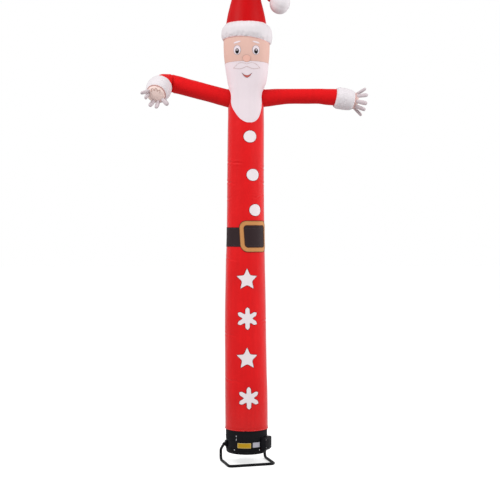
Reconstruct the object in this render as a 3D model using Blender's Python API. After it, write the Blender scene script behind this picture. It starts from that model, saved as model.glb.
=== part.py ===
"""Inflatable air dancer in Father Christmas dress, blown up, on its blower and stand.

Metres, +Z up, the front of the figure towards -Y. A turn is an angle about the blower's
upright axis, in degrees, from the front and positive towards +X. Left and right are the
viewer's. The pieces are modelled about the blower's axis and then hung from one empty,
which puts the middle of the whole object's underside at the origin.
"""

from math import cos, floor, pi, radians, sin, tan

import bmesh
import bpy
from mathutils import Matrix, Vector

# ------------------------------------------------------------------ driving dimensions
GAP = 0.0003            # between two pieces that touch
CLOTH = 0.002           # a sewn panel
PATCH = 0.0015          # a patch sewn on a panel
SIDES = 24              # flats round the body, the head and the blower
LIMB_SIDES = 12         # flats round an arm, a cuff, a hand and the pompom
FLAT = 2 * pi / SIDES   # angle of one flat

# The sewn skin from the hem to the top of the head
SKIN_ROWS = (
    # height, radius, sway to +X
    (0.377, 0.2290, 0.002),
    (0.430, 0.2285, 0.002),
    (1.000, 0.2215, -0.003),
    (1.540, 0.2160, -0.008),
    (2.190, 0.2105, -0.012),
    (2.440, 0.2025, -0.011),
    (3.030, 0.1960, -0.011),
    (3.600, 0.1910, -0.007),
    (4.030, 0.1880, -0.002),
    (4.055, 0.1885, 0.002),
    (4.095, 0.2025, 0.005),
    (4.140, 0.2120, 0.006),
    (4.220, 0.2240, 0.0045),
    (4.290, 0.2325, 0.003),
    (4.400, 0.2445, 0.002),
    (4.500, 0.2480, 0.002),
    (4.600, 0.2470, 0.002),
)
NECK = 4.030            # the body tube ends here and the head begins
CHEEK = 4.287           # the beard's top edge, under the face panel's lower edge
CROWN = 4.600           # the hat begins here, hidden by the hat band
SIDE_SEAM = 101.0       # turn at which the face panel meets the hair panel

# The beard, half its width on each side of a middle that drifts round with the cloth
BEARD_ROWS = (
    # height, middle, half width (degrees)
    (4.296, 0.0, 104.0),
    (4.180, 0.0, 104.0),
    (4.070, 0.0, 101.0),
    (4.038, 0.0, 84.0),
    (4.010, 0.5, 69.0),
    (3.975, 1.0, 60.0),
    (3.930, 1.5, 57.5),
    (3.880, 2.5, 58.0),
    (3.830, 4.5, 54.0),
    (3.770, 8.0, 44.0),
    (3.715, 10.5, 33.0),
    (3.678, 11.5, 21.0),
    (3.658, 12.0, 9.0),
)

# Round buttons down the chest
BUTTON_WIDTH, BUTTON_HEIGHT = 0.144, 0.130
BUTTON_ROWS = (
    # height, turn
    (3.506, 14.0),
    (3.100, 24.0),
    (2.726, 32.0),
)

# Belt and buckle
BELT_LOW, BELT_HIGH = 2.338, 2.540
BUCKLE_WIDTH, BUCKLE_HEIGHT, BUCKLE_BAND = 0.361, 0.331, 0.049
BUCKLE_CORNER = 0.080
BUCKLE_LEAN = 0.07      # how far its left side leans in towards the bottom
BUCKLE_TURN, BUCKLE_AT = 34.0, 2.446

# White emblems down the body, stars and snowflakes in turn
EMBLEM_WIDTH = 0.250
STAR_WAIST = 0.46       # inner radius of a star over its outer radius
FLAKE_ARM = 0.050       # width of a snowflake's arm
EMBLEM_ROWS = (
    # height, turn, kind
    (1.988, 5.0, "star"),
    (1.574, 6.0, "flake"),
    (1.148, 4.0, "star"),
    (0.728, 7.0, "flake"),
)

# Face patches: half are mirrored to the other side of the face
EYE_TURN, EYE_AT, EYE_WIDTH, EYE_HEIGHT = 24.0, 4.415, 0.082, 0.098
PUPIL_WIDTH, PUPIL_HEIGHT, PUPIL_DROP = 0.042, 0.056, 0.012
BROW_AT, BROW_WIDTH, BROW_HEIGHT, BROW_TILT = 4.497, 0.082, 0.019, 12.0
NOSE_AT, NOSE_WIDTH, NOSE_HEIGHT = 4.325, 0.085, 0.075
MOUTH_AT, MOUTH_WIDTH, MOUTH_DEPTH, MOUTH_LIP = 4.178, 0.110, 0.030, 0.022
MOUSTACHE_AT, MOUSTACHE_SPAN, MOUSTACHE_HEIGHT = 4.245, 0.310, 0.070

# Hat band, from its lower edge to where it meets the hat
BRIM_ROWS = (
    # height, radius, sway to +X
    (4.535, 0.2504, 0.002),
    (4.552, 0.2665, 0.004),
    (4.590, 0.2770, 0.006),
    (4.632, 0.2768, 0.007),
    (4.684, 0.2625, 0.005),
    (4.720, 0.2430, 0.001),
    (4.736, 0.2167, -0.003),
)
BRIM_DROOP = 0.085      # slope of its lower edge down towards +X

# Hat, from under its band up and over to the pompom
HAT_ROWS = (
    # x, height, radius
    (0.002, 4.6003, 0.2466),
    (-0.001, 4.670, 0.2300),
    (-0.003, 4.736, 0.2146),
    (-0.003, 4.826, 0.2035),
    (-0.003, 4.912, 0.1840),
    (-0.002, 5.000, 0.1600),
    (0.010, 5.095, 0.1310),
    (0.042, 5.168, 0.1040),
    (0.095, 5.206, 0.0820),
    (0.150, 5.196, 0.0640),
    (0.193, 5.145, 0.0520),
    (0.225, 5.075, 0.0430),
    (0.258, 5.003, 0.0370),
    (0.300, 4.985, 0.0350),
)
POMPOM_X, POMPOM_AT, POMPOM_RADIUS = 0.359, 4.951, 0.110
POMPOM_MOUTH = 16.0     # half angle of the opening at the hat's tip, degrees

# Sleeves: centre line and radius
LEFT_ARM_ROWS = (
    # x, y, z, radius
    (-0.120, 0.000, 3.912, 0.0930),
    (-0.190, 0.000, 3.930, 0.0930),
    (-0.400, 0.000, 3.986, 0.0905),
    (-0.620, 0.000, 4.045, 0.0915),
    (-0.770, 0.000, 4.084, 0.0935),
    (-0.838, -0.020, 4.094, 0.0930),
    (-0.887, -0.075, 4.091, 0.0910),
)
RIGHT_ARM_ROWS = (
    # x, y, z, radius
    (0.120, 0.000, 3.932, 0.0930),
    (0.190, 0.000, 3.934, 0.0930),
    (0.330, 0.000, 3.949, 0.0840),
    (0.460, 0.000, 3.957, 0.0768),
    (0.620, 0.000, 3.958, 0.0760),
    (0.765, 0.000, 3.957, 0.0775),
    (0.880, 0.000, 3.947, 0.0860),
)
SLEEVE_END, SLEEVE_LAP = 0.0880, 0.020   # a sleeve's radius and reach inside its cuff
# Where each cuff starts and the way it points
LEFT_CUFF_START, LEFT_CUFF_WAY = (-0.914, -0.138, 4.068), (-0.215, -0.800, -0.560)
RIGHT_CUFF_START, RIGHT_CUFF_WAY = (0.958, 0.000, 3.938), (0.9945, 0.000, -0.105)
CUFF_ROWS = (
    # distance along the cuff, radius
    (0.000, 0.0903),
    (0.014, 0.1060),
    (0.045, 0.1180),
    (0.100, 0.1205),
    (0.155, 0.1170),
    (0.192, 0.1060),
    (0.206, 0.0903),
)
HAND_ROWS = (
    # distance past the cuff's end, radius
    (-0.018, 0.0880),
    (0.000, 0.0880),
    (0.014, 0.0840),
    (0.027, 0.0690),
    (0.035, 0.0420),
    (0.038, 0.0000),
)
FINGER_WIDTH, FINGER_DEPTH = 0.042, 0.031
FINGER_ROWS = (
    # distance along the finger over its length, share of its full width
    (0.00, 0.80),
    (0.35, 0.95),
    (0.70, 1.00),
    (0.92, 0.80),
    (1.00, 0.42),
)
FINGER_SINK = 0.010     # a finger's root starts this far inside the hand before it is cut
LEFT_FINGERS = (
    # place round the hand from its top (degrees, towards -X), then the way it points
    (62.0, (-0.60, -0.66, -0.46)),
    (98.0, (-0.30, -0.74, -0.60)),
    (160.0, (-0.40, -0.74, -0.54)),
    (201.0, (-0.20, -0.66, -0.72)),
    (229.0, (0.43, -0.66, -0.62)),
)
RIGHT_FINGERS = (
    # place round the hand from its top (degrees, towards -Y), then the way it points
    (14.0, (0.88, -0.16, 0.50)),
    (62.0, (0.98, -0.20, 0.08)),
    (102.0, (0.94, -0.16, -0.30)),
    (145.0, (0.86, -0.16, -0.46)),
    (188.0, (0.78, 0.10, -0.64)),
)
FINGER_CIRCLE = 0.063   # radius at which the roots stand on the hand
FINGER_LENGTH, FINGER_SIDES = 0.118, 8

# Blower
DRUM_RADIUS, DRUM_TOP, DRUM_BOTTOM = 0.2205, 0.345, 0.128
INTAKE_RADIUS, GUARD_THICKNESS = 0.196, 0.004
DRUM_OUTLINE = (
    # radius, height: down the outside, then up the inside
    (DRUM_RADIUS, DRUM_TOP),
    (DRUM_RADIUS, 0.160),
    (0.2145, 0.144),
    (0.2000, DRUM_BOTTOM),
    (INTAKE_RADIUS, DRUM_BOTTOM),
    (0.2115, 0.146),
    (0.2175, 0.162),
    (0.2175, DRUM_TOP),
)
COLLAR_ROWS = (
    # height, radius, sway to +X
    (0.270, 0.2229, 0.000),
    (0.350, 0.2232, 0.000),
    (0.376, 0.2262, 0.002),
    (0.400, 0.2265, 0.002),
)
FLANGE_LOW, FLANGE_HIGH, FLANGE_OUT = 0.162, 0.174, 0.0055
BOLT_WIDTH, BOLT_PROUD = 0.012, 0.004
BOLT_TURNS = (-34.0, 38.0, 146.0, 218.0)
BOX_TURN, BOX_WIDTH = 62.0, 0.130
BOX_OUTLINE = (
    # distance from the axis, height
    (0.190, 0.150),
    (0.244, 0.150),
    (0.271, 0.176),
    (0.271, 0.290),
    (0.263, 0.299),
    (0.190, 0.299),
)
PLATE_CORNER, PLATE_THICKNESS = 0.004, 0.001
PLATES = (
    # name, turn, height of its middle, width, height
    ("plate_yellow", -6.3, 0.2230, 0.1466, 0.0590),
    ("plate_pale", 28.6, 0.2270, 0.0830, 0.0560),
)
SNAP_TURN, SNAP_WIDTH, SNAP_HEIGHT, SNAP_PROUD = -28.7, 0.012, 0.018, 0.003
SNAP_AT = (0.316, 0.279)

# Stand: one bent tube. u runs to the viewer's right along the front rail, v to the back.
STAND_TURN = 16.0       # the front rail is turned this far
STAND_MIDDLE = (0.010, -0.046)
TUBE_RADIUS, TUBE_SIDES = 0.0126, 12
TUBE_HALF_WIDTH, TUBE_HALF_DEPTH, TUBE_BEND = 0.250, 0.180, 0.040
KNEE_HEIGHT, PIVOT_HEIGHT, PIVOT_PAST = 0.128, 0.212, 0.014
BRACKET_WIDTH = 0.052
BRACKET_ROOT = 0.150    # where a bracket starts inside the drum, before it is cut to sit on it
BRACKET_OUTLINE = (
    # share of the way from its root to the tube, height
    (0.00, 0.184),
    (0.80, 0.176),
    (1.00, 0.188),
    (1.00, 0.240),
    (0.85, 0.252),
    (0.00, 0.252),
)
PIVOT_BOLT_RADIUS, PIVOT_BOLT_PROUD = 0.010, 0.006

MATERIALS = {
    # base colour, roughness, metallic
    "red_cloth": ((0.70, 0.012, 0.018), 0.45, 0.0),
    "white_cloth": ((0.83, 0.80, 0.82), 0.50, 0.0),
    "skin_cloth": ((0.82, 0.56, 0.47), 0.50, 0.0),
    "finger_cloth": ((0.52, 0.40, 0.40), 0.55, 0.0),
    "dark_cloth": ((0.022, 0.019, 0.020), 0.50, 0.0),
    "gold_cloth": ((0.72, 0.33, 0.10), 0.50, 0.0),
    "nose_cloth": ((0.80, 0.42, 0.34), 0.50, 0.0),
    "lip_cloth": ((0.55, 0.14, 0.12), 0.50, 0.0),
    "black_shell": ((0.014, 0.014, 0.016), 0.42, 0.0),
    "black_steel": ((0.016, 0.016, 0.018), 0.38, 1.0),
    "bright_steel": ((0.62, 0.62, 0.64), 0.30, 1.0),
    "yellow_plate": ((0.58, 0.40, 0.02), 0.40, 0.0),
    "pale_plate": ((0.60, 0.58, 0.64), 0.40, 0.0),
}


# ------------------------------------------------------------------ common shapes
def clear_scene():
    for thing in list(bpy.data.objects):
        bpy.data.objects.remove(thing, do_unlink=True)


def material(name):
    found = bpy.data.materials.get(name)
    if found:
        return found
    colour, roughness, metallic = MATERIALS[name]
    made = bpy.data.materials.new(name)
    made.use_nodes = True
    shader = made.node_tree.nodes["Principled BSDF"]
    shader.inputs["Base Color"].default_value = (*colour, 1.0)
    shader.inputs["Roughness"].default_value = roughness
    shader.inputs["Metallic"].default_value = metallic
    return made


def stand_up(bm, name, finish, smooth_below=35.0):
    """Close a bmesh into a named object that hangs from the frame."""
    bmesh.ops.remove_doubles(bm, verts=bm.verts[:], dist=0.00001)
    bmesh.ops.recalc_face_normals(bm, faces=bm.faces[:])
    mesh = bpy.data.meshes.new(name)
    bm.to_mesh(mesh)
    bm.free()
    mesh.shade_smooth()
    mesh.set_sharp_from_angle(angle=radians(smooth_below))
    thing = bpy.data.objects.new(name, mesh)
    thing.data.materials.append(material(finish))
    thing.parent = bpy.data.objects["frame"]
    bpy.context.scene.collection.objects.link(thing)
    return thing


def make_guide(thing):
    """A cutter: left out of the model."""
    thing.hide_render = True
    thing.display_type = "WIRE"
    return thing


def cut(thing, cutter):
    change = thing.modifiers.new("cut by " + cutter.name, "BOOLEAN")
    change.operation = "DIFFERENCE"
    change.object = cutter


def row_at(rows, height):
    """Radius and sway of a table of rows at a height."""
    for low, high in zip(rows, rows[1:]):
        if height <= high[0]:
            break
    share = min(max((height - low[0]) / (high[0] - low[0]), 0.0), 1.0)
    return tuple(a + share * (b - a) for a, b in zip(low[1:], high[1:]))


def skin_point(rows, turn, height, lift):
    """A point at a lift above the flats that the rows make. The turn is in radians."""
    radius, sway = row_at(rows, height)
    middle = (floor(turn / FLAT + 1e-6) + 0.5) * FLAT
    distance = (radius * cos(FLAT / 2) + lift) / cos(turn - middle)
    return Vector((sway + distance * sin(turn), -distance * cos(turn), height))


def turned(profile, sides, turn=2 * pi):
    """Spin a closed profile of (radius, height) corners about the Z axis."""
    bm = bmesh.new()
    corners = [bm.verts.new((0.0, -radius, height)) for radius, height in profile]
    edges = [bm.edges.new(pair) for pair in zip(corners, corners[1:] + corners[:1])]
    bmesh.ops.spin(bm, geom=corners + edges, cent=(0, 0, 0), axis=(0, 0, 1), dvec=(0, 0, 0),
                   angle=turn, steps=sides, use_merge=True, use_duplicate=False)
    bmesh.ops.remove_doubles(bm, verts=bm.verts[:], dist=0.00001)
    return bm


def rows_between(rows, low, high):
    """The rows of a table from one height to another, with a row made at each end."""
    inner = [row for row in rows if low < row[0] < high]
    return [(low, *row_at(rows, low)), *inner, (high, *row_at(rows, high))]


def ring_shell(name, rows, lift, thickness, finish):
    """A ring of cloth all round, whose inner side is at the lift above the rows' flats."""
    spread = 1 / cos(FLAT / 2)
    outer = [(radius + (lift + thickness) * spread, height) for height, radius, _ in rows]
    inner = [(radius + lift * spread, height) for height, radius, _ in reversed(rows)]
    bm = turned(outer + inner, SIDES)
    for vert in bm.verts:
        vert.co.x += row_at(rows, vert.co.z)[1]
    return stand_up(bm, name, finish)


def patch(name, outline, rows, lift, thickness, finish, middle=None, hole=None):
    """A flat patch with an outline of (turn, height) corners, laid on the rows' flats.

    It is built as a flat slab, cut along every edge between two flats, and then wrapped.
    """
    bm = bmesh.new()
    rim = [bm.verts.new((turn, 0.0, height)) for turn, height in outline]
    pairs = list(zip(range(len(rim)), [*range(1, len(rim)), 0]))
    if hole:
        inner = [bm.verts.new((turn, 0.0, height)) for turn, height in hole]
        for first, second in pairs:
            bm.faces.new((rim[first], rim[second], inner[second], inner[first]))
    else:
        count = len(outline)
        centre = middle or (sum(t for t, _ in outline) / count, sum(h for _, h in outline) / count)
        hub = bm.verts.new((centre[0], 0.0, centre[1]))
        for first, second in pairs:
            bm.faces.new((rim[first], rim[second], hub))
    grown = bmesh.ops.extrude_face_region(bm, geom=bm.faces[:])["geom"]
    for vert in (item for item in grown if isinstance(item, bmesh.types.BMVert)):
        vert.co.y = 1.0
    turns = [turn for turn, _ in outline]
    heights = [height for _, height in outline]
    for step in range(floor(min(turns) / FLAT) + 1, floor(max(turns) / FLAT) + 1):
        slice_slab(bm, (step * FLAT, 0, 0), (1, 0, 0))
    for row in rows:
        if min(heights) < row[0] < max(heights):
            slice_slab(bm, (0, 0, row[0]), (0, 0, 1))
    for vert in bm.verts:
        side = lift + thickness * vert.co.y
        vert.co = skin_point(rows, vert.co.x, vert.co.z, side)
    return stand_up(bm, name, finish)


def slice_slab(bm, point, normal):
    everything = bm.verts[:] + bm.edges[:] + bm.faces[:]
    bmesh.ops.bisect_plane(bm, geom=everything, dist=1e-6, plane_co=point, plane_no=normal)


def on_skin(rows, turn, height, points):
    """Turn flat (right, up) points in metres, about a place, into (turn, height) corners."""
    radius = row_at(rows, height)[0]
    return [(radians(turn) + right / radius, height + up) for right, up in points]


def placed_ring(centre, way, across, radius_u, radius_v, phase):
    """The matrix that puts a unit circle at a centre, facing along a way."""
    side = (across - way * across.dot(way)).normalized()
    rotation = Matrix((side, way.cross(side), way)).transposed().to_4x4()
    size = Matrix.Diagonal((radius_u, radius_v, 1.0, 1.0))
    return Matrix.Translation(centre) @ rotation @ size @ Matrix.Rotation(phase, 4, "Z")


def loft(places, sides, closed):
    """Join unit circles put at each place. A closed loft runs back to its first ring."""
    bm = bmesh.new()
    verts = bmesh.ops.create_circle(bm, segments=sides, radius=1.0, matrix=places[0])["verts"]
    first = [edge for edge in bm.edges]
    edges = first
    for before, after in zip(places, places[1:]):
        grown = bmesh.ops.extrude_edge_only(bm, edges=edges)["geom"]
        verts = [item for item in grown if isinstance(item, bmesh.types.BMVert)]
        fresh = set(verts)
        edges = [item for item in grown if isinstance(item, bmesh.types.BMEdge)
                 and fresh.issuperset(item.verts)]
        bmesh.ops.transform(bm, matrix=after @ before.inverted(), verts=verts)
    if closed:
        bmesh.ops.bridge_loops(bm, edges=first + edges)
    else:
        bmesh.ops.contextual_create(bm, geom=first)
        bmesh.ops.contextual_create(bm, geom=edges)
    return bm


def ways_along(points):
    """The direction of travel at each point, halfway between its two neighbours'."""
    steps = [(b - a).normalized() for a, b in zip(points, points[1:])]
    inner = [(a + b).normalized() for a, b in zip(steps, steps[1:])]
    return [steps[0], *inner, steps[-1]]


def sleeve(name, rows, upright, sides, finish, start_way=None, end_way=None):
    """A cloth tube along rows of (x, y, z, radius), open at both ends.

    With a way for its start, the first three rings are square to it. With a way for its
    end, the last two are.
    """
    centres = [Vector(row[:3]) for row in rows]
    ways = ways_along(centres)
    if start_way:
        ways[:3] = [start_way] * 3
    if end_way:
        ways[-2:] = [end_way, end_way]
    outer = []
    inner = []
    for centre, way, row in zip(centres, ways, rows):
        across = upright.cross(way)
        outer.append(placed_ring(centre, way, across, row[3], row[3], 0.0))
        inner.append(placed_ring(centre, way, across, row[3] - CLOTH, row[3] - CLOTH, 0.0))
    return stand_up(loft(outer + inner[::-1], sides, closed=True), name, finish)


def limb_frame(start, way):
    """The matrix that stands a piece turned about Z at a start, along a way."""
    way = Vector(way).normalized()
    side = Vector((0, 0, 1)).cross(way).normalized()
    rotation = Matrix((side, way.cross(side), way)).transposed().to_4x4()
    return Matrix.Translation(start) @ rotation


def box_body(outline, width):
    """A flat (x, z) outline given a width along Y."""
    bm = bmesh.new()
    face = bm.faces.new([bm.verts.new((x, -width / 2, z)) for x, z in outline])
    grown = bmesh.ops.extrude_face_region(bm, geom=[face])["geom"]
    verts = [item for item in grown if isinstance(item, bmesh.types.BMVert)]
    bmesh.ops.translate(bm, vec=(0, width, 0), verts=verts)
    return bm


def facing(turn):
    """The rotation that takes +X to the outward direction at a turn in degrees."""
    return Matrix.Rotation(radians(turn - 90.0), 4, "Z")


# ------------------------------------------------------------------ outlines of patches
def oval(width, height, count=20, tilt=0.0):
    lean = radians(tilt)
    points = []
    for step in range(count):
        angle = 2 * pi * step / count
        right, up = width / 2 * cos(angle), height / 2 * sin(angle)
        points.append((right * cos(lean) - up * sin(lean), right * sin(lean) + up * cos(lean)))
    return points


def round_frame(width, height, corner, steps=4):
    """A rectangle with round corners."""
    points = []
    for quarter, (x_side, z_side) in enumerate(((1, 1), (-1, 1), (-1, -1), (1, -1))):
        x_mid, z_mid = x_side * (width / 2 - corner), z_side * (height / 2 - corner)
        for step in range(steps + 1):
            angle = (quarter + step / steps) * pi / 2
            points.append((x_mid + corner * cos(angle), z_mid + corner * sin(angle)))
    return points


def lean_left(points):
    """Lean the left side of an outline in towards its bottom."""
    return [(right - BUCKLE_LEAN * up if right < 0 else right, up) for right, up in points]


def star(width):
    points = []
    for step in range(10):
        reach = width / 2 * (STAR_WAIST if step % 2 else 1.0)
        angle = pi / 2 + step * pi / 5
        points.append((reach * cos(angle), reach * sin(angle)))
    return points


def flake(width):
    """Six broad arms with pointed ends."""
    points = []
    half = FLAKE_ARM / 2
    reach = width / 2
    root = half / tan(pi / 6)
    for arm in range(6):
        angle = pi / 2 + arm * pi / 3
        for along, aside in ((root, -half), (reach - half, -half), (reach, 0.0), (reach - half, half)):
            points.append((along * cos(angle) - aside * sin(angle),
                           along * sin(angle) + aside * cos(angle)))
    return points


def smile(width, depth, lip, steps=10):
    """A crescent that is deepest in its middle."""
    upper = []
    lower = []
    for step in range(steps + 1):
        share = step / steps
        right = width * (share - 0.5)
        sag = depth * (1 - (2 * share - 1) ** 2)
        upper.append((right, -sag))
        lower.append((right, -sag - lip * sin(pi * share)))
    return lower[:-1] + upper[:0:-1]


def moustache(span, height, steps=8):
    """Two lobes that droop and come to a point at each end."""
    top = []
    bottom = []
    for step in range(2 * steps + 1):
        share = step / steps - 1.0
        reach = abs(share)
        right = share * span / 2
        middle = -0.35 * height * reach ** 2 + 0.12 * height
        thick = height * (0.24 + 0.62 * sin(pi * min(reach * 1.15, 1.0)) ** 0.8) * (1 - reach ** 6)
        top.append((right, middle + thick / 2))
        bottom.append((right, middle - thick / 2))
    return bottom + top[-2:0:-1]


# ------------------------------------------------------------------ the cloth figure
def make_body():
    rows = rows_between(SKIN_ROWS, SKIN_ROWS[0][0], NECK)
    body = ring_shell("body_tube", rows, -CLOTH, CLOTH, "red_cloth")
    for name, arm_rows in (("left", LEFT_ARM_ROWS), ("right", RIGHT_ARM_ROWS)):
        start, radius = Vector(arm_rows[0][:3]), arm_rows[1][3] - 2 * CLOTH
        way = (Vector(arm_rows[1][:3]) - start).normalized()
        reach = 2 * abs(arm_rows[1][0])
        places = [placed_ring(start + way * far, way, Vector((0, 1, 0)), radius, radius, 0.0)
                  for far in (0.0, reach)]
        hole = stand_up(loft(places, LIMB_SIDES, closed=False), "shoulder_guide_" + name, "red_cloth")
        cut(body, make_guide(hole))
    ring_shell("base_collar", COLLAR_ROWS, -CLOTH, CLOTH, "dark_cloth")


def make_skin_guide():
    """The skin's outside and a gap, for cutting what is sewn to it."""
    rows = rows_between(SKIN_ROWS, SKIN_ROWS[0][0], CHEEK)
    spread = 1 / cos(FLAT / 2)
    profile = [(radius + GAP * spread, height) for height, radius, _ in rows]
    bm = turned([(0.0, rows[0][0]), *profile, (0.0, CHEEK)], SIDES)
    for vert in bm.verts:
        vert.co.x += row_at(rows, vert.co.z)[1]
    return make_guide(stand_up(bm, "skin_guide", "red_cloth"))


def make_head():
    seam = radians(SIDE_SEAM)
    slack = GAP / 2 / SKIN_ROWS[-1][1]
    low = CHEEK
    face = [(-seam + slack, low), (seam - slack, low), (seam - slack, CROWN), (-seam + slack, CROWN)]
    patch("face_panel", face, SKIN_ROWS, -CLOTH, CLOTH, "skin_cloth")
    back = [(seam + slack, NECK + GAP), (2 * pi - seam - slack, NECK + GAP),
            (2 * pi - seam - slack, CROWN), (seam + slack, CROWN)]
    patch("hair_panel", back, SKIN_ROWS, -CLOTH, CLOTH, "white_cloth")
    right = [(radians(middle + half), height) for height, middle, half in BEARD_ROWS]
    left = [(radians(middle - half), height) for height, middle, half in BEARD_ROWS]
    outline = left + right[::-1]
    hub = (radians(BEARD_ROWS[3][1]), BEARD_ROWS[3][0])
    patch("beard_panel", outline, SKIN_ROWS, GAP, CLOTH, "white_cloth", middle=hub)


def make_face():
    """A plain, friendly face: two eyes with brows, a round nose, a moustache and a smile."""
    above = GAP
    over_beard = 2 * GAP + CLOTH
    for side, name in ((-1, "left"), (1, "right")):
        turn = side * EYE_TURN
        eye = on_skin(SKIN_ROWS, turn, EYE_AT, oval(EYE_WIDTH, EYE_HEIGHT))
        patch("eye_" + name, eye, SKIN_ROWS, above, PATCH, "white_cloth")
        pupil = on_skin(SKIN_ROWS, turn, EYE_AT - PUPIL_DROP, oval(PUPIL_WIDTH, PUPIL_HEIGHT, 14))
        patch("pupil_" + name, pupil, SKIN_ROWS, above + PATCH + GAP, PATCH, "dark_cloth")
        brow = on_skin(SKIN_ROWS, turn, BROW_AT, oval(BROW_WIDTH, BROW_HEIGHT, 12, -side * BROW_TILT))
        patch("brow_" + name, brow, SKIN_ROWS, above, PATCH, "white_cloth")
    nose = on_skin(SKIN_ROWS, 0.0, NOSE_AT, oval(NOSE_WIDTH, NOSE_HEIGHT))
    patch("nose", nose, SKIN_ROWS, over_beard, PATCH, "nose_cloth")
    lobes = on_skin(SKIN_ROWS, 0.0, MOUSTACHE_AT, moustache(MOUSTACHE_SPAN, MOUSTACHE_HEIGHT))
    patch("moustache", lobes, SKIN_ROWS, over_beard, PATCH, "white_cloth",
          middle=(0.0, MOUSTACHE_AT + 0.1 * MOUSTACHE_HEIGHT))
    lips = on_skin(SKIN_ROWS, 0.0, MOUTH_AT, smile(MOUTH_WIDTH, MOUTH_DEPTH, MOUTH_LIP))
    patch("mouth", lips, SKIN_ROWS, over_beard, PATCH, "lip_cloth",
          middle=(0.0, MOUTH_AT - MOUTH_DEPTH - MOUTH_LIP / 2))


def make_dress():
    for number, (height, turn) in enumerate(BUTTON_ROWS, 1):
        disc = on_skin(SKIN_ROWS, turn, height, oval(BUTTON_WIDTH, BUTTON_HEIGHT))
        patch(f"button_{number}", disc, SKIN_ROWS, GAP, PATCH, "white_cloth")
    band = rows_between(SKIN_ROWS, BELT_LOW, BELT_HIGH)
    ring_shell("belt", band, GAP, PATCH, "dark_cloth")
    outer = lean_left(round_frame(BUCKLE_WIDTH, BUCKLE_HEIGHT, BUCKLE_CORNER))
    inner = lean_left(round_frame(BUCKLE_WIDTH - 2 * BUCKLE_BAND, BUCKLE_HEIGHT - 2 * BUCKLE_BAND,
                                  BUCKLE_CORNER - BUCKLE_BAND))
    patch("buckle", on_skin(SKIN_ROWS, BUCKLE_TURN, BUCKLE_AT, outer), SKIN_ROWS,
          2 * GAP + PATCH, PATCH, "gold_cloth",
          hole=on_skin(SKIN_ROWS, BUCKLE_TURN, BUCKLE_AT, inner))
    outlines = {"star": star(EMBLEM_WIDTH), "flake": flake(EMBLEM_WIDTH)}
    for number, (height, turn, kind) in enumerate(EMBLEM_ROWS, 1):
        shape = on_skin(SKIN_ROWS, turn, height, outlines[kind])
        patch(f"emblem_{number}", shape, SKIN_ROWS, GAP, PATCH, "white_cloth",
              middle=(radians(turn), height))


def make_hat():
    brim = ring_shell("hat_brim", BRIM_ROWS, -CLOTH + GAP, CLOTH, "white_cloth")
    low, high = BRIM_ROWS[0][0], BRIM_ROWS[-1][0]
    for vert in brim.data.vertices:
        share = 1 - (vert.co.z - low) / (high - low)
        vert.co.z -= BRIM_DROOP * vert.co.x * share
    rows = [(x, 0.0, height, radius) for x, height, radius in HAT_ROWS]
    hat = sleeve("hat_cone", rows, Vector((0, 1, 0)), SIDES, "red_cloth",
                 start_way=Vector((0, 0, 1)))
    centre = Vector((POMPOM_X, 0.0, POMPOM_AT))
    tip = Vector((HAT_ROWS[-2][0], 0.0, HAT_ROWS[-2][1]))
    place = limb_frame(centre, centre - tip)
    wall = ball_profile(POMPOM_RADIUS)
    ball = turned(wall + ball_profile(POMPOM_RADIUS - CLOTH)[::-1], LIMB_SIDES)
    bmesh.ops.transform(ball, matrix=place, verts=ball.verts)
    stand_up(ball, "pompom", "white_cloth", smooth_below=50.0)
    clear = ball_profile(POMPOM_RADIUS + GAP / cos(pi / LIMB_SIDES) ** 2)
    outside = turned([(0.0, clear[0][1]), *clear], LIMB_SIDES)
    bmesh.ops.transform(outside, matrix=place, verts=outside.verts)
    cut(hat, make_guide(stand_up(outside, "pompom_guide", "white_cloth")))


def ball_profile(radius, steps=7):
    """A ball's profile from the mouth at its lower end to its top."""
    mouth = radians(POMPOM_MOUTH)
    angles = [mouth + (pi - mouth) * step / steps for step in range(steps + 1)]
    return [(radius * sin(angle), -radius * cos(angle)) for angle in angles[:-1]] + [(0.0, radius)]


def make_arm(name, rows, start, way, fingers, guide):
    start, way = Vector(start), Vector(way).normalized()
    lap = start + way * SLEEVE_LAP
    rows = (*rows, (*start, SLEEVE_END), (*lap, SLEEVE_END))
    arm = sleeve("arm_" + name, rows, Vector((0, 0, 1)), LIMB_SIDES, "red_cloth",
                 end_way=way)
    cut(arm, guide)
    place = limb_frame(start, way)
    cuff = [(radius, along) for along, radius in CUFF_ROWS]
    bm = turned(cuff + [(radius - CLOTH, along) for radius, along in reversed(cuff)], LIMB_SIDES)
    bmesh.ops.transform(bm, matrix=place, verts=bm.verts)
    stand_up(bm, "cuff_" + name, "white_cloth", smooth_below=50.0)

    end = CUFF_ROWS[-1][0]
    hand = [(radius, end + along) for along, radius in HAND_ROWS]
    inner = [(max(radius - CLOTH, 0.0), along - CLOTH) for radius, along in hand]
    bm = turned(hand + inner[::-1], LIMB_SIDES)
    bmesh.ops.transform(bm, matrix=place, verts=bm.verts)
    stand_up(bm, "hand_" + name, "skin_cloth", smooth_below=50.0)

    grown = [(radius + GAP if radius else 0.0, along + GAP) for radius, along in hand[1:]]
    sealed = turned([(0.0, hand[0][1]), (hand[0][0] + GAP, hand[0][1]), *grown], LIMB_SIDES)
    bmesh.ops.transform(sealed, matrix=place, verts=sealed.verts)
    hand_guide = make_guide(stand_up(sealed, "hand_guide_" + name, "skin_cloth"))
    for number, (round_hand, points) in enumerate(fingers, 1):
        make_finger(f"finger_{name}_{number}", place, round_hand, Vector(points), hand_guide)


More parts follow.
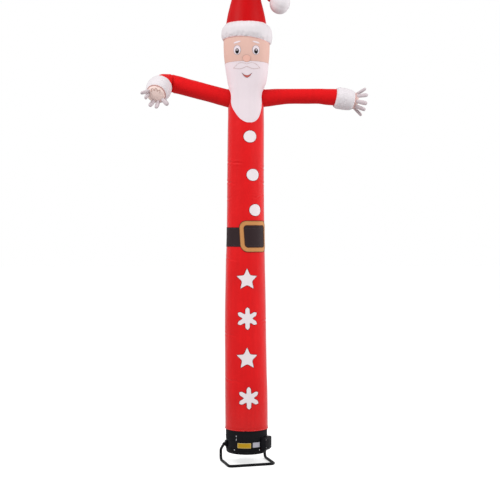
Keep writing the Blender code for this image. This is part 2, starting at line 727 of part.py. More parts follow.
def make_finger(name, place, round_hand, way, guide):
    """A finger whose root is cut to sit on the hand."""
    way = way.normalized()
    angle = radians(round_hand)
    spot = Vector((-FINGER_CIRCLE * sin(angle), FINGER_CIRCLE * cos(angle), 0.0))
    rise = CUFF_ROWS[-1][0] + HAND_ROWS[2][0]
    outward = place.to_3x3() @ spot.normalized()
    root = place @ (spot + Vector((0, 0, rise))) - way * FINGER_SINK
    across = outward.cross(way)
    places = []
    for share, width in FINGER_ROWS:
        centre = root + way * (FINGER_SINK + FINGER_LENGTH) * share
        places.append(placed_ring(centre, way, across, FINGER_WIDTH / 2 * width,
                                  FINGER_DEPTH / 2 * width, 0.0))
    finger = stand_up(loft(places, FINGER_SIDES, closed=False), name, "finger_cloth", smooth_below=60.0)
    cut(finger, guide)


# ------------------------------------------------------------------ the blower and stand
def make_blower():
    stand_up(turned(DRUM_OUTLINE, SIDES), "drum", "black_shell")

    lift = GAP / cos(FLAT / 2)
    rim = DRUM_RADIUS + FLANGE_OUT
    ring = [(DRUM_RADIUS + lift, FLANGE_LOW), (rim, FLANGE_LOW),
            (rim, FLANGE_HIGH), (DRUM_RADIUS + lift, FLANGE_HIGH)]
    stand_up(turned(ring, SIDES), "drum_flange", "black_shell")

    disc = [(0.0, DRUM_BOTTOM), (INTAKE_RADIUS - lift, DRUM_BOTTOM),
            (INTAKE_RADIUS - lift, DRUM_BOTTOM + GUARD_THICKNESS), (0.0, DRUM_BOTTOM + GUARD_THICKNESS)]
    stand_up(turned(disc, SIDES), "intake_guard", "black_shell")

    rim_rows = ((FLANGE_LOW, rim, 0.0), (FLANGE_HIGH, rim, 0.0))
    for number, turn in enumerate(BOLT_TURNS, 1):
        middle = (FLANGE_LOW + FLANGE_HIGH) / 2
        head = on_skin(rim_rows, turn, middle, oval(BOLT_WIDTH, BOLT_WIDTH, 6))
        patch(f"drum_bolt_{number}", head, rim_rows, GAP, BOLT_PROUD, "bright_steel")

    drum_rows = ((DRUM_BOTTOM, DRUM_RADIUS, 0.0), (DRUM_TOP, DRUM_RADIUS, 0.0))
    for name, turn, height, width, tall in PLATES:
        finish = "yellow_plate" if name == "plate_yellow" else "pale_plate"
        shape = on_skin(drum_rows, turn, height, round_frame(width, tall, PLATE_CORNER, 2))
        patch(name, shape, drum_rows, GAP, PLATE_THICKNESS, finish)
    for number, height in enumerate(SNAP_AT, 1):
        disc = on_skin(COLLAR_ROWS, SNAP_TURN, height, oval(SNAP_WIDTH, SNAP_HEIGHT, 8))
        patch(f"snap_{number}", disc, COLLAR_ROWS, GAP, SNAP_PROUD, "bright_steel")


def make_blower_guide():
    """The blower's outside with its collar and flange, and a gap."""
    spread = GAP / cos(FLAT / 2)
    collar = COLLAR_ROWS[-1][1] + spread
    rim = DRUM_RADIUS + FLANGE_OUT + spread
    drum = DRUM_RADIUS + spread
    high, low = FLANGE_HIGH + GAP, COLLAR_ROWS[0][0] - GAP
    profile = [(0.0, 0.0), (rim, 0.0), (rim, high), (drum, high), (drum, low),
               (collar, low), (collar, DRUM_TOP), (0.0, DRUM_TOP)]
    return make_guide(stand_up(turned(profile, SIDES), "blower_guide", "black_shell"))


def make_control_box(guide):
    bm = box_body(BOX_OUTLINE, BOX_WIDTH)
    bmesh.ops.transform(bm, matrix=facing(BOX_TURN), verts=bm.verts)
    cut(stand_up(bm, "control_box", "black_shell"), guide)


def rounded_path(corners, bend, steps=3):
    """A route through corners, each turned by an arc, as pairs of a point and a way."""
    path = [(corners[0], (corners[1] - corners[0]).normalized())]
    for before, corner, after in zip(corners, corners[1:], corners[2:]):
        into, out = (corner - before).normalized(), (after - corner).normalized()
        half = into.angle(out) / 2
        back = bend * tan(half)
        hub = corner + (out - into).normalized() * bend / cos(half)
        start = corner - into * back
        arm, axis = start - hub, into.cross(out).normalized()
        for step in range(steps + 1):
            turn = Matrix.Rotation(2 * half * step / steps, 3, axis)
            path.append((hub + turn @ arm, turn @ into))
    path.append((corners[-1], (corners[-1] - corners[-2]).normalized()))
    return path


def stand_frame():
    """The matrix from the stand's own u, v and height to the model."""
    place = Matrix.Translation((*STAND_MIDDLE, 0.0))
    return place @ Matrix.Rotation(radians(STAND_TURN), 4, "Z")


def make_stand(guide):
    place = stand_frame()
    hub = place.inverted() @ Vector((0, 0, 0))
    flat_radius = TUBE_RADIUS * cos(pi / TUBE_SIDES)
    half, depth = TUBE_HALF_WIDTH, TUBE_HALF_DEPTH
    side = [Vector((half, depth, flat_radius)), Vector((half, depth, KNEE_HEIGHT)),
            Vector((half, hub.y, PIVOT_HEIGHT))]
    beyond = (side[2] - side[1]).normalized() * PIVOT_PAST
    right = [*side[:2], side[2] + beyond]
    left = [Vector((-point.x, point.y, point.z)) for point in reversed(right)]
    front = [Vector((-half, -depth, flat_radius)), Vector((half, -depth, flat_radius))]
    places = []
    across = Vector((1, 0, 0))
    previous = None
    for centre, way in rounded_path(left + front + right, TUBE_BEND):
        if previous:
            across = previous.rotation_difference(way) @ across
        previous = way
        places.append(placed_ring(centre, way, across, TUBE_RADIUS, TUBE_RADIUS, pi / TUBE_SIDES))
    tube = loft([place @ ring for ring in places], TUBE_SIDES, closed=False)
    stand_up(tube, "stand_tube", "black_steel", smooth_below=50.0)

    reach = half - flat_radius - GAP - BRACKET_ROOT
    outline = [(BRACKET_ROOT + reach * share, height) for share, height in BRACKET_OUTLINE]
    for name, turn in (("right", 0.0), ("left", pi)):
        bm = box_body(outline, BRACKET_WIDTH)
        spin = Matrix.Rotation(turn, 4, "Z")
        seat = place @ Matrix.Translation((0.0, hub.y, 0.0)) @ spin
        bmesh.ops.transform(bm, matrix=seat, verts=bm.verts)
        cut(stand_up(bm, "bracket_" + name, "black_steel"), guide)
        outside = half + flat_radius + GAP
        end = outside + PIVOT_BOLT_PROUD
        head = turned([(0.0, outside), (PIVOT_BOLT_RADIUS, outside),
                       (PIVOT_BOLT_RADIUS * 0.8, end), (0.0, end)], TUBE_SIDES)
        level = Matrix.Translation((0, 0, PIVOT_HEIGHT)) @ Matrix.Rotation(pi / 2, 4, "Y")
        bmesh.ops.transform(head, matrix=seat @ level, verts=head.verts)
        stand_up(head, "pivot_bolt_" + name, "bright_steel")


def centre_frame():
    """Move the empty so that the middle of the object's underside is at the origin."""
    bpy.context.view_layer.update()
    graph = bpy.context.evaluated_depsgraph_get()
    corners = []
    for thing in bpy.data.objects:
        if thing.type == "MESH" and not thing.hide_render:
            seen = thing.evaluated_get(graph)
            corners += [thing.matrix_world @ vert.co for vert in seen.data.vertices]
    lows = [min(corner[axis] for corner in corners) for axis in range(3)]
    highs = [max(corner[axis] for corner in corners) for axis in range(3)]
    middle = ((lows[0] + highs[0]) / 2, (lows[1] + highs[1]) / 2, lows[2])
    bpy.data.objects["frame"].location = [-value for value in middle]


def main():
    clear_scene()
    bpy.context.scene.collection.objects.link(bpy.data.objects.new("frame", None))
    make_body()
    skin_guide = make_skin_guide()
    make_head()
    make_face()
    make_dress()
    make_hat()
    make_arm("left", LEFT_ARM_ROWS, LEFT_CUFF_START, LEFT_CUFF_WAY, LEFT_FINGERS, skin_guide)
    make_arm("right", RIGHT_ARM_ROWS, RIGHT_CUFF_START, RIGHT_CUFF_WAY, RIGHT_FINGERS, skin_guide)
    make_blower()
    blower_guide = make_blower_guide()
    make_control_box(blower_guide)
    make_stand(blower_guide)
    centre_frame()


main()
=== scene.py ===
"""Inflated Father Christmas tube figure on its blower and stand, dressed around the frame.

Metres. Tables are about the blower's upright axis, with a turn measured round it from the
front and positive towards +X. Left and right are the viewer's.
"""

from functools import partial
from math import atan2, cos, exp, pi, radians, sin, sqrt, tan

import bmesh
import bpy
from mathutils import Matrix, Vector, noise


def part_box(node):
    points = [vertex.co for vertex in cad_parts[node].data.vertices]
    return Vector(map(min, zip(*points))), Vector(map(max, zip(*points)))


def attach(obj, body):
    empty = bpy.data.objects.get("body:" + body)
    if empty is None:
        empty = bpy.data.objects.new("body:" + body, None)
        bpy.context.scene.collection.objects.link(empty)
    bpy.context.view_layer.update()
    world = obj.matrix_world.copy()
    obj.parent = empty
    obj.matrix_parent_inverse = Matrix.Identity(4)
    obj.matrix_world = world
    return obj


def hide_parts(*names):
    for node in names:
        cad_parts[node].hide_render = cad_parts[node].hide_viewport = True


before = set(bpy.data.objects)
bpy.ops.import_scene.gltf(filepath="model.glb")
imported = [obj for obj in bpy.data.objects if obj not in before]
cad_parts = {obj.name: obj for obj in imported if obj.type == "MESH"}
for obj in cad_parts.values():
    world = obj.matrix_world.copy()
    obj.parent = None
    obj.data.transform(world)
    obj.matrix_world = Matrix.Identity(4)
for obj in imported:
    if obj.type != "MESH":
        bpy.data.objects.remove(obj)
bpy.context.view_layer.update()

bl_info = {
    "name": "Father Christmas air dancer",
    "version": (1, 0, 0),
    "blender": (4, 5, 0),
    "location": "3D View > Sidebar > Air dancer",
    "description": "Builds the cloth figure, the blower and the stand around the packed frame",
    "category": "Add Mesh",
}

DRUM_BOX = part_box("drum")
AXIS = Vector(((DRUM_BOX[0][0] + DRUM_BOX[1][0]) / 2, (DRUM_BOX[0][1] + DRUM_BOX[1][1]) / 2, 0.0))
TAU = 2 * pi
MADE = "_detailed"      # ends the names of what stands for a CAD node or material

# ------------------------------------------------------------------ sizes of the cloth
WALL = 0.0012           # a sewn panel
PATCH_WALL = 0.0010     # a patch sewn on a panel
PATCH_LIFT = 0.0009     # a patch's underside over the panel
AROUND = 128            # steps round the body and head
SKIN_WIDTH = 0.2        # cloth for a radian round the body and head
ON_AXIS = 1e-6          # nearer than this to the axis, a corner has no turn
INNER = 100.0           # added to the height of a wall's inner corners while it is spun

SKIN_ROWS = (
    # height, radius, sway to +X
    (0.377, 0.2300, 0.002),
    (0.430, 0.2300, 0.001),
    (0.700, 0.2305, -0.001),
    (1.000, 0.2265, -0.006),
    (1.540, 0.2215, -0.011),
    (2.190, 0.2115, -0.012),
    (2.440, 0.2035, -0.011),
    (3.030, 0.1985, -0.011),
    (3.600, 0.1958, -0.007),
    (4.030, 0.1885, -0.002),
    (4.055, 0.1890, 0.002),
    (4.095, 0.2030, 0.005),
    (4.140, 0.2125, 0.006),
    (4.220, 0.2245, 0.0045),
    (4.290, 0.2330, 0.003),
    (4.400, 0.2450, 0.002),
    (4.500, 0.2485, 0.002),
    (4.600, 0.2475, 0.002),
)
HEM, NECK, CHEEK, BRIM_SEAM = 0.377, 4.030, 4.287, 4.600
SIDE_SEAM = 101.0       # turn at which the face panel meets the hair panel
SEAM_TOP = 3.800        # top of the tube's side seams

# Faint creases blown into the body tube
BODY_CREASES = (
    # height, slope, middle turn, half width (degrees), depth
    (3.235, -0.10, -52.0, 50.0, 0.0056),
    (3.190, -0.05, 78.0, 34.0, 0.0040),
    (3.025, -0.12, -72.0, 42.0, 0.0050),
    (3.015, -0.08, 78.0, 32.0, 0.0044),
    (2.868, 0.22, 50.0, 26.0, 0.0042),
    (2.850, 0.10, -72.0, 30.0, 0.0034),
    (2.205, -0.10, -58.0, 40.0, 0.0036),
    (1.535, 0.04, 66.0, 48.0, 0.0042),
    (1.390, -0.10, -60.0, 40.0, 0.0036),
    (0.905, -0.12, -50.0, 45.0, 0.0038),
    (3.420, 0.12, 170.0, 60.0, 0.0056),
    (2.250, -0.14, 200.0, 60.0, 0.0050),
    (1.250, 0.12, 150.0, 55.0, 0.0050),
    (2.800, 0.10, 140.0, 50.0, 0.0046),
)
CREASE_WIDTH = 0.0095
CREASED = ((0.850, 0.960), (1.190, 1.310), (1.330, 1.450), (1.485, 1.605), (2.145, 2.310),
           (2.750, 3.080), (3.130, 3.300), (3.360, 3.480))
# Gathers at sewn rows: the cloth is fuller than the seam
GATHERS = (
    # height, number round, reach, depth
    (HEM, 46, 0.030, 0.0012),
    (NECK, 34, 0.035, 0.0020),
    (BRIM_SEAM - 0.060, 40, 0.030, 0.0012),
)
SHOULDERS = (
    # side, height of the sleeve's middle at the skin, radius
    (-1, 3.930, 0.093),
    (1, 3.934, 0.093),
)

BEARD_ROWS = (
    # height, middle, half width (degrees)
    (4.296, 0.0, 104.0),
    (4.180, 0.0, 104.0),
    (4.070, 0.0, 101.0),
    (4.038, 0.0, 84.0),
    (4.010, 0.5, 69.0),
    (3.975, 1.0, 60.0),
    (3.930, 1.5, 57.5),
    (3.880, 2.5, 58.0),
    (3.830, 4.5, 54.0),
    (3.770, 8.0, 44.0),
    (3.715, 10.5, 33.0),
    (3.678, 11.5, 21.0),
    (3.658, 12.0, 9.0),
)
BEARD_HALVES = tuple((row[0], row[2]) for row in reversed(BEARD_ROWS))
# Where the beard runs straight past the neck, from the chest to the cheeks
CHIN_HEIGHTS, CHIN_RADII, CHIN_SLOPES = (3.860, 4.270), (0.1900, 0.2305), (-0.01, 0.12)
BUTTON_WIDTH, BUTTON_HEIGHT = 0.144, 0.130
BUTTONS = (
    # height, turn
    (3.506, 14.0),
    (3.100, 24.0),
    (2.726, 32.0),
)
BELT_LOW, BELT_HIGH = 2.338, 2.540
BUCKLE_WIDTH, BUCKLE_HEIGHT, BUCKLE_BAND = 0.361, 0.331, 0.049
BUCKLE_CORNER, BUCKLE_LEAN = 0.080, 0.07
BUCKLE_TURN, BUCKLE_AT = 34.0, 2.446
EMBLEM_WIDTH, STAR_WAIST, FLAKE_ARM = 0.250, 0.46, 0.050
EMBLEMS = (
    # height, turn, kind
    (1.988, 5.0, "star"),
    (1.574, 6.0, "flake"),
    (1.148, 4.0, "star"),
    (0.728, 7.0, "flake"),
)
STIFF_PLACES = (*((height, turn, 0.075) for height, turn in BUTTONS),
                *((height, turn, 0.130) for height, turn, _ in EMBLEMS),
                (BUCKLE_AT, BUCKLE_TURN, 0.190))
EYE_TURN, EYE_AT, EYE_WIDTH, EYE_HEIGHT = 24.0, 4.415, 0.082, 0.098
PUPIL_WIDTH, PUPIL_HEIGHT, PUPIL_DROP = 0.042, 0.056, 0.012
GLINT_WIDTH, GLINT_UP = 0.015, 0.012
BROW_AT, BROW_WIDTH, BROW_HEIGHT, BROW_TILT = 4.497, 0.082, 0.019, 12.0
NOSE_AT, NOSE_WIDTH, NOSE_HEIGHT = 4.325, 0.085, 0.075
MOUTH_AT, MOUTH_WIDTH, MOUTH_DEPTH, MOUTH_LIP = 4.178, 0.110, 0.030, 0.022
MOUSTACHE_AT, MOUSTACHE_SPAN, MOUSTACHE_HEIGHT = 4.245, 0.310, 0.070

BRIM_ROWS = (
    # height, radius, sway to +X
    (4.533, 0.2500, 0.001),
    (4.538, 0.2580, 0.002),
    (4.556, 0.2635, 0.003),
    (4.595, 0.2660, 0.004),
    (4.636, 0.2640, 0.004),
    (4.680, 0.2530, 0.003),
    (4.708, 0.2385, 0.000),
    (4.722, 0.2180, -0.003),
)
BRIM_DROOP, BRIM_RISE = 0.085, 0.022
HAT_ROWS = (
    # x, y, height, radius
    (-0.002, 0.0, 4.700, 0.2210),
    (-0.003, 0.0, 4.736, 0.2150),
    (-0.003, 0.0, 4.826, 0.1985),
    (-0.003, 0.0, 4.912, 0.1770),
    (-0.002, 0.0, 5.000, 0.1530),
    (0.010, 0.0, 5.095, 0.1265),
    (0.042, 0.0, 5.168, 0.1040),
    (0.095, 0.0, 5.206, 0.0820),
    (0.150, 0.0, 5.196, 0.0640),
    (0.193, 0.0, 5.145, 0.0520),
    (0.225, 0.0, 5.075, 0.0430),
    (0.258, 0.0, 5.003, 0.0370),
    (0.272, 0.0, 4.994, 0.0350),
)
POMPOM_CENTRE, POMPOM_RADIUS, POMPOM_MOUTH = (0.359, 0.0, 4.951), 0.110, 16.0
POMPOM_FROM = (0.258, 0.0, 5.003)

LEFT_ARM_ROWS = (
    # x, y, z, radius
    (-0.120, 0.000, 3.912, 0.0935),
    (-0.190, 0.000, 3.930, 0.0935),
    (-0.400, 0.000, 3.986, 0.0915),
    (-0.620, 0.000, 4.045, 0.0925),
    (-0.770, 0.000, 4.084, 0.0945),
    (-0.838, -0.020, 4.094, 0.0940),
    (-0.887, -0.075, 4.091, 0.0915),
    (-0.908, -0.138, 4.064, 0.0885),
    (-0.911, -0.154, 4.053, 0.0880),
)
RIGHT_ARM_ROWS = (
    # x, y, z, radius
    (0.120, 0.000, 3.932, 0.0935),
    (0.190, 0.000, 3.934, 0.0935),
    (0.330, 0.000, 3.947, 0.0875),
    (0.460, 0.000, 3.954, 0.0810),
    (0.620, 0.000, 3.954, 0.0807),
    (0.765, 0.000, 3.955, 0.0810),
    (0.880, 0.000, 3.947, 0.0865),
    (0.953, 0.000, 3.944, 0.0885),
    (0.973, 0.000, 3.941, 0.0880),
)
# Folds in the sleeves and the hat where they bend
LEFT_ARM_FOLDS = (
    # distance along, middle angle, half width (degrees), depth, width
    (0.722, -10.0, 110.0, 0.0120, 0.0085),
    (0.762, -60.0, 70.0, 0.0060, 0.0100),
    (0.686, -75.0, 60.0, 0.0045, 0.0110),
    (0.420, 40.0, 60.0, 0.0020, 0.0140),
    (0.180, -30.0, 60.0, 0.0020, 0.0140),
)
RIGHT_ARM_FOLDS = (
    (0.250, -20.0, 70.0, 0.0016, 0.016),
    (0.640, 30.0, 60.0, 0.0014, 0.014),
    (0.720, -160.0, 55.0, 0.0020, 0.012),
)
HAT_FOLDS = (
    (0.395, 90.0, 65.0, 0.0100, 0.020),
    (0.450, 90.0, 60.0, 0.0090, 0.017),
    (0.505, 90.0, 60.0, 0.0080, 0.015),
    (0.560, 90.0, 55.0, 0.0060, 0.013),
    (0.612, 90.0, 55.0, 0.0045, 0.012),
    (0.330, 70.0, 60.0, 0.0050, 0.022),
)
HAT_GATHERS = ((0.036, 30, 0.030, 0.0022), (0.868, 12, 0.020, 0.0015))
ARM_GATHERS = ((0.075, 15, 0.030, 0.0022), (0.86, 17, 0.022, 0.0020))
# Low end, high end and step of a sleeve's rows. An end below 0 is measured from the cuff
LEFT_ARM_STEPS = ((0.090, 0.62, 0.0135), (0.628, -0.002, 0.0065))
RIGHT_ARM_STEPS = ((0.092, -0.06, 0.0135), (-0.052, -0.002, 0.008))
LEFT_CUFF_START, LEFT_CUFF_WAY = (-0.905, -0.138, 4.062), (-0.205, -0.790, -0.580)
RIGHT_CUFF_START, RIGHT_CUFF_WAY = (0.953, 0.000, 3.943), (0.985, 0.130, -0.158)
CUFF_FULLNESS = {"left": 1.06, "right": 0.915}
HAND_WIDTH = {"left": 1.0, "right": 0.86}
HAND_DEPTH = {"left": 1.0, "right": 1.45}
CUFF_ROWS = (
    # distance along the cuff, radius
    (0.000, 0.0905),
    (0.014, 0.1065),
    (0.045, 0.1190),
    (0.100, 0.1220),
    (0.155, 0.1185),
    (0.192, 0.1125),
    (0.206, 0.1034),
)
HAND_ROWS = (
    # distance past the cuff's end, radius
    (-0.010, 0.1010),
    (0.000, 0.1018),
    (0.013, 0.0975),
    (0.024, 0.0830),
    (0.031, 0.0520),
    (0.034, 0.0000),
)
# Width of the band of painted shade round the palm's rim, next to the cuff
WRIST_BAND = 0.016
FINGER_WIDTH, FINGER_DEPTH, FINGER_LENGTH = 0.047, 0.035, 0.124
FINGER_CIRCLE, FINGER_ROOT = 0.073, 0.005
# Share of the length, share of the width
FINGER_OUTLINE = ((0.0, 0.80), (0.3, 0.93), (0.6, 1.0), (0.85, 0.93), (0.96, 0.66), (1.0, 0.0))
LEFT_FINGERS = (
    # place round the hand (degrees), then the way it points
    (52.0, (-0.66, -0.64, -0.36)),
    (80.0, (-0.30, -0.78, -0.50)),
    (158.0, (-0.36, -0.70, -0.54)),
    (192.0, (-0.14, -0.60, -0.78)),
    (226.0, (0.52, -0.56, -0.60)),
)
RIGHT_FINGERS = (
    (10.0, (0.88, -0.16, 0.42)),
    (54.0, (0.90, -0.24, 0.12)),
    (98.0, (0.96, -0.16, -0.24)),
    (140.0, (0.86, -0.16, -0.42)),
    (182.0, (0.74, 0.10, -0.62)),
)

CORDS = {
    # piece: material, half width, half height, and its slot when the material has another
    "body_hem": ("red_cloth", 0.0038, 0.0036),
    "body_seams": ("red_cloth", 0.0060, 0.0013),
    "beard_edge": ("white_cloth", 0.0026, 0.0018),
    "beard_seam": ("skin_thread", 0.0016, 0.0010),
    "head_seams": ("skin_cloth", 0.0045, 0.0012),
    "hair_seam": ("white_cloth", 0.0050, 0.0013),
    "eye_edges": ("grey_thread", 0.0016, 0.0010),
    "nose_edge": ("skin_thread", 0.0016, 0.0010, "nose_cloth"),
    "moustache_edge": ("skin_thread", 0.0014, 0.0010, "white_cloth"),
    "mouth_edge": ("brown_thread", 0.0013, 0.0009, "lip_cloth"),
    "patch_edges": ("maroon_thread", 0.0024, 0.0013),
    "belt_edges": ("dark_thread", 0.0022, 0.0014),
    "buckle_edges": ("brown_thread", 0.0038, 0.0018, "dark_cloth"),
    "brim_edges": ("pink_thread", 0.0022, 0.0016),
    "hat_seam": ("hat_cloth", 0.0045, 0.0013),
    "pompom_tie": ("pink_thread", 0.0026, 0.0020),
    "shoulder": ("sleeve_cloth", 0.0042, 0.0020),
    "sleeve_seam": ("sleeve_cloth", 0.0040, 0.0012),
    "cuff_edges": ("pink_thread", 0.0022, 0.0016),
    "hand_seam": ("skin_thread", 0.0052, 0.0022),
    "finger_seams": ("skin_thread", 0.0016, 0.0011, "finger_cloth"),
    "palm_line": ("skin_thread", 0.0030, 0.0014),
    "collar_bands": ("collar_cloth", 0.0024, 0.0016),
    "plate_yellow_rim": ("plate_rim", 0.0022, 0.0010),
    "plate_pale_rim": ("pale_plate", 0.0022, 0.0010),
}
STITCH_LENGTH, STITCH_HALF_WIDE = 0.0062, 0.0007
STITCH_OUTLINE = ((0.0, -1.0), (0.8, -0.7), (1.0, 0.0), (0.8, 0.7), (0.0, 1.0))
AIR_FRAMES = 22
AIR_CLOTH = {
    "quality": 6, "mass": 0.12, "air_damping": 2.0, "tension_stiffness": 30.0,
    "compression_stiffness": 30.0, "shear_stiffness": 10.0, "bending_stiffness": 0.15,
    "use_pressure": True,
}

# ------------------------------------------------------------------ sizes of the blower
DRUM_RADIUS, INTAKE_RADIUS = 0.2205, 0.196
DRUM_OUTLINE = (
    # radius, height: down the outside, then up the inside
    (0.2205, 0.345), (0.2205, 0.262), (0.2220, 0.259), (0.2220, 0.253), (0.2205, 0.250),
    (0.2205, 0.196), (0.2220, 0.193), (0.2220, 0.187), (0.2205, 0.184), (0.2205, 0.146),
    (0.2196, 0.134), (0.2170, 0.1262), (0.2118, 0.1208), (0.2040, 0.1188), (0.1975, 0.1185),
    (0.1962, 0.1198), (0.1985, 0.129), (0.2100, 0.139), (0.2160, 0.150), (0.2175, 0.168),
    (0.2175, 0.345),
)
COLLAR_ROWS = (
    # height, radius, sway to +X
    (0.270, 0.2232, 0.000),
    (0.350, 0.2236, 0.000),
    (0.376, 0.2264, 0.002),
    (0.400, 0.2267, 0.002),
)
FLANGE_LOW, FLANGE_HIGH, FLANGE_OUT = 0.162, 0.174, 0.0055
BOLT_TURNS = (-34.0, 38.0, 146.0, 218.0)
BOX_TURN, BOX_WIDTH = 60.5, 0.146
BOX_OUTLINE = (
    # distance from the axis, height
    (0.190, 0.150),
    (0.244, 0.150),
    (0.271, 0.176),
    (0.271, 0.290),
    (0.263, 0.299),
    (0.190, 0.299),
)
PLATES = (
    # name, turn, height of its middle, width, height, material
    ("plate_yellow", -6.3, 0.2185, 0.1466, 0.0545, "yellow_plate"),
    ("plate_pale", 28.6, 0.2240, 0.0830, 0.0530, "pale_plate"),
)
SNAP_TURN, SNAP_AT = -28.7, (0.316, 0.279)
STAND_TURN, STAND_MIDDLE = 16.0, (0.010, -0.046)
TUBE_RADIUS = 0.0150
TUBE_HALF_WIDTH, TUBE_HALF_DEPTH, TUBE_BEND = 0.250, 0.180, 0.040
KNEE_HEIGHT, PIVOT_HEIGHT, PIVOT_PAST = 0.128, 0.212, 0.014
BRACKET_WIDTH = 0.052
BRACKET_OUTLINE = (
    # distance from the stand's middle, height
    (0.2120, 0.178),
    (0.2375, 0.188),
    (0.2375, 0.240),
    (0.2250, 0.252),
    (0.2120, 0.252),
)
SCREW_OUTLINE = ((0.0, 0.55), (0.42, 0.55), (0.48, 1.0), (0.82, 0.96), (1.0, 0.62), (1.0, 0.0),
                 (0.0, 0.0))
GUARD_LOW, GUARD_GROOVE, GUARD_HIGH = 0.1285, 0.1262, 0.1325
SPOKE_OUTLINE = ((0.012, 0.1278), (0.192, 0.1278), (0.192, 0.1300), (0.012, 0.1300))
LID_OUTLINE = ((0.2700, 0.184), (0.2728, 0.186), (0.2728, 0.282), (0.2700, 0.284))
SWITCH_OUTLINE = ((0.2722, 0.232), (0.2752, 0.236), (0.2738, 0.247), (0.2758, 0.258),
                  (0.2722, 0.262))
COLLAR_BANDS = (0.271, 0.297, 0.303)

# ------------------------------------------------------------------ finishes and light
THREADS = {
    "red_thread": (0.33, 0.006, 0.010),
    "pink_thread": (0.86, 0.50, 0.50),
    "white_thread": (0.74, 0.71, 0.72),
    "dark_thread": (0.030, 0.018, 0.018),
    "brown_thread": (0.085, 0.030, 0.018),
    "maroon_thread": (0.14, 0.006, 0.010),
    "skin_thread": (0.42, 0.25, 0.21),
    "grey_thread": (0.22, 0.23, 0.29),
}
SLOTS = {material: slot for slot, materials in (
    ("red_cloth", ("sleeve_cloth", "hat_cloth", "red_thread", "maroon_thread")),
    ("white_cloth", ("trim_cloth", "patch_cloth", "white_thread", "pink_thread")),
    ("skin_cloth", ("palm_cloth", "skin_thread")),
    ("dark_cloth", ("pupil_cloth", "collar_cloth", "dark_thread", "grey_thread")),
    ("yellow_plate", ("plate_rim",))) for material in materials}
FLOOR_GLOW = 0.66
LIGHTS = (
    # name, place, what it points at, size
    ("key", (-6.5, -4.5, 8.5), (0.0, 0.0, 3.6), 4.5),
    ("fill", (7.0, -4.0, 7.0), (0.0, 0.0, 3.6), 4.5),
    ("side", (8.0, 2.5, 2.6), (0.0, 0.0, 2.0), 4.0),
)


# ------------------------------------------------------------------ settings of the add-on
def colour_setting(name, what, value):
    return bpy.props.FloatVectorProperty(name=name, description=what, default=value, size=3,
                                         subtype="COLOR", min=0.0, max=1.0)


def number_setting(name, what, value, **kind):
    return bpy.props.FloatProperty(name=name, description=what, default=value, **kind)


class AirDancerCloth(bpy.types.PropertyGroup):
    red: colour_setting("Red cloth", "Colour of the tube", (0.74, 0.009, 0.011))
    # The trim is the white cloth made darker: painted shade, for parts that get more light from
    # above
    trim: colour_setting("Trim cloth", "Colour of the hat band, the cuffs and the pompom",
                         (0.72, 0.675, 0.695))
    # The sleeves are the red cloth made a little darker: painted shade, a shaded copy of the tube's
    # red
    sleeve: colour_setting("Sleeve cloth", "Colour of the sleeves", (0.67, 0.006, 0.008))
    hat: colour_setting("Hat cloth", "Colour of the hat", (0.53, 0.002, 0.004))
    palm: colour_setting("Palm cloth", "Colour of the palms", (0.92, 0.71, 0.65))
    # The palm's rim next to the cuff is the palm cloth darkened: painted shade, where the puffed
    # cuff shades it
    wrist: colour_setting("Wrist cloth", "Colour of the gathered edge of the palms",
                          (0.66, 0.44, 0.41))
    white: colour_setting("White cloth", "Colour of the beard and the hair", (0.80, 0.70, 0.735))
    patch: colour_setting("Patch cloth", "Colour of the buttons and the emblems",
                          (0.84, 0.765, 0.785))
    skin: colour_setting("Skin cloth", "Colour of the face", (0.72, 0.46, 0.39))
    finger: colour_setting("Finger cloth", "Colour of the finger strips", (0.57, 0.49, 0.51))
    dark: colour_setting("Dark cloth", "Colour of the belt", (0.034, 0.020, 0.022))
    gold: colour_setting("Gold cloth", "Colour of the buckle", (0.58, 0.265, 0.092))
    yarn: number_setting("Yarn pitch", "From one yarn to the next", 0.0009, unit="LENGTH")
    grid: number_setting("Ripstop pitch", "From one thick yarn to the next", 0.006, unit="LENGTH")
    stitch: number_setting("Stitch pitch", "From one stitch to the next", 0.011, unit="LENGTH")


class AirDancerBlower(bpy.types.PropertyGroup):
    plastic: colour_setting("Plastic", "Colour of the drum and the control box",
                            (0.006, 0.006, 0.008))
    paint: colour_setting("Paint", "Colour of the stand", (0.006, 0.006, 0.008))
    yellow: colour_setting("Yellow plate", "Colour of the wide plate", (0.50, 0.29, 0.013))
    pale: colour_setting("Pale plate", "Colour of the narrow plate", (0.47, 0.45, 0.51))


class AirDancerStage(bpy.types.PropertyGroup):
    floor: colour_setting("Floor", "Colour of the floor", (0.60, 0.60, 0.60))
    ambient: number_setting("Surrounding light", "Strength of the world", 0.61)
    key: number_setting("Key light", "Power from the upper left", 530.0, unit="POWER")
    fill: number_setting("Fill light", "Power from the right", 390.0, unit="POWER")
    side: number_setting("Side light", "Power from low on the right", 150.0, unit="POWER")
    distance: number_setting("Camera distance", "From the blower's axis", 11.44, unit="LENGTH")
    height: number_setting("Camera height", "Over the floor", 2.514, unit="LENGTH")
    aside: number_setting("Camera offset", "To the right of the axis", 0.038, unit="LENGTH")
    down: number_setting("Camera pitch", "Below level", radians(1.08), subtype="ANGLE")
    lens: number_setting("Lens", "Focal length", 76.25, unit="CAMERA")


# ------------------------------------------------------------------ numbers and places
def weights(t):
    """Weights of a curve's low end, the slope there, its high end and the slope there."""
    return (2 * t ** 3 - 3 * t ** 2 + 1, t ** 3 - 2 * t ** 2 + t,
            3 * t ** 2 - 2 * t ** 3, t ** 3 - t ** 2)


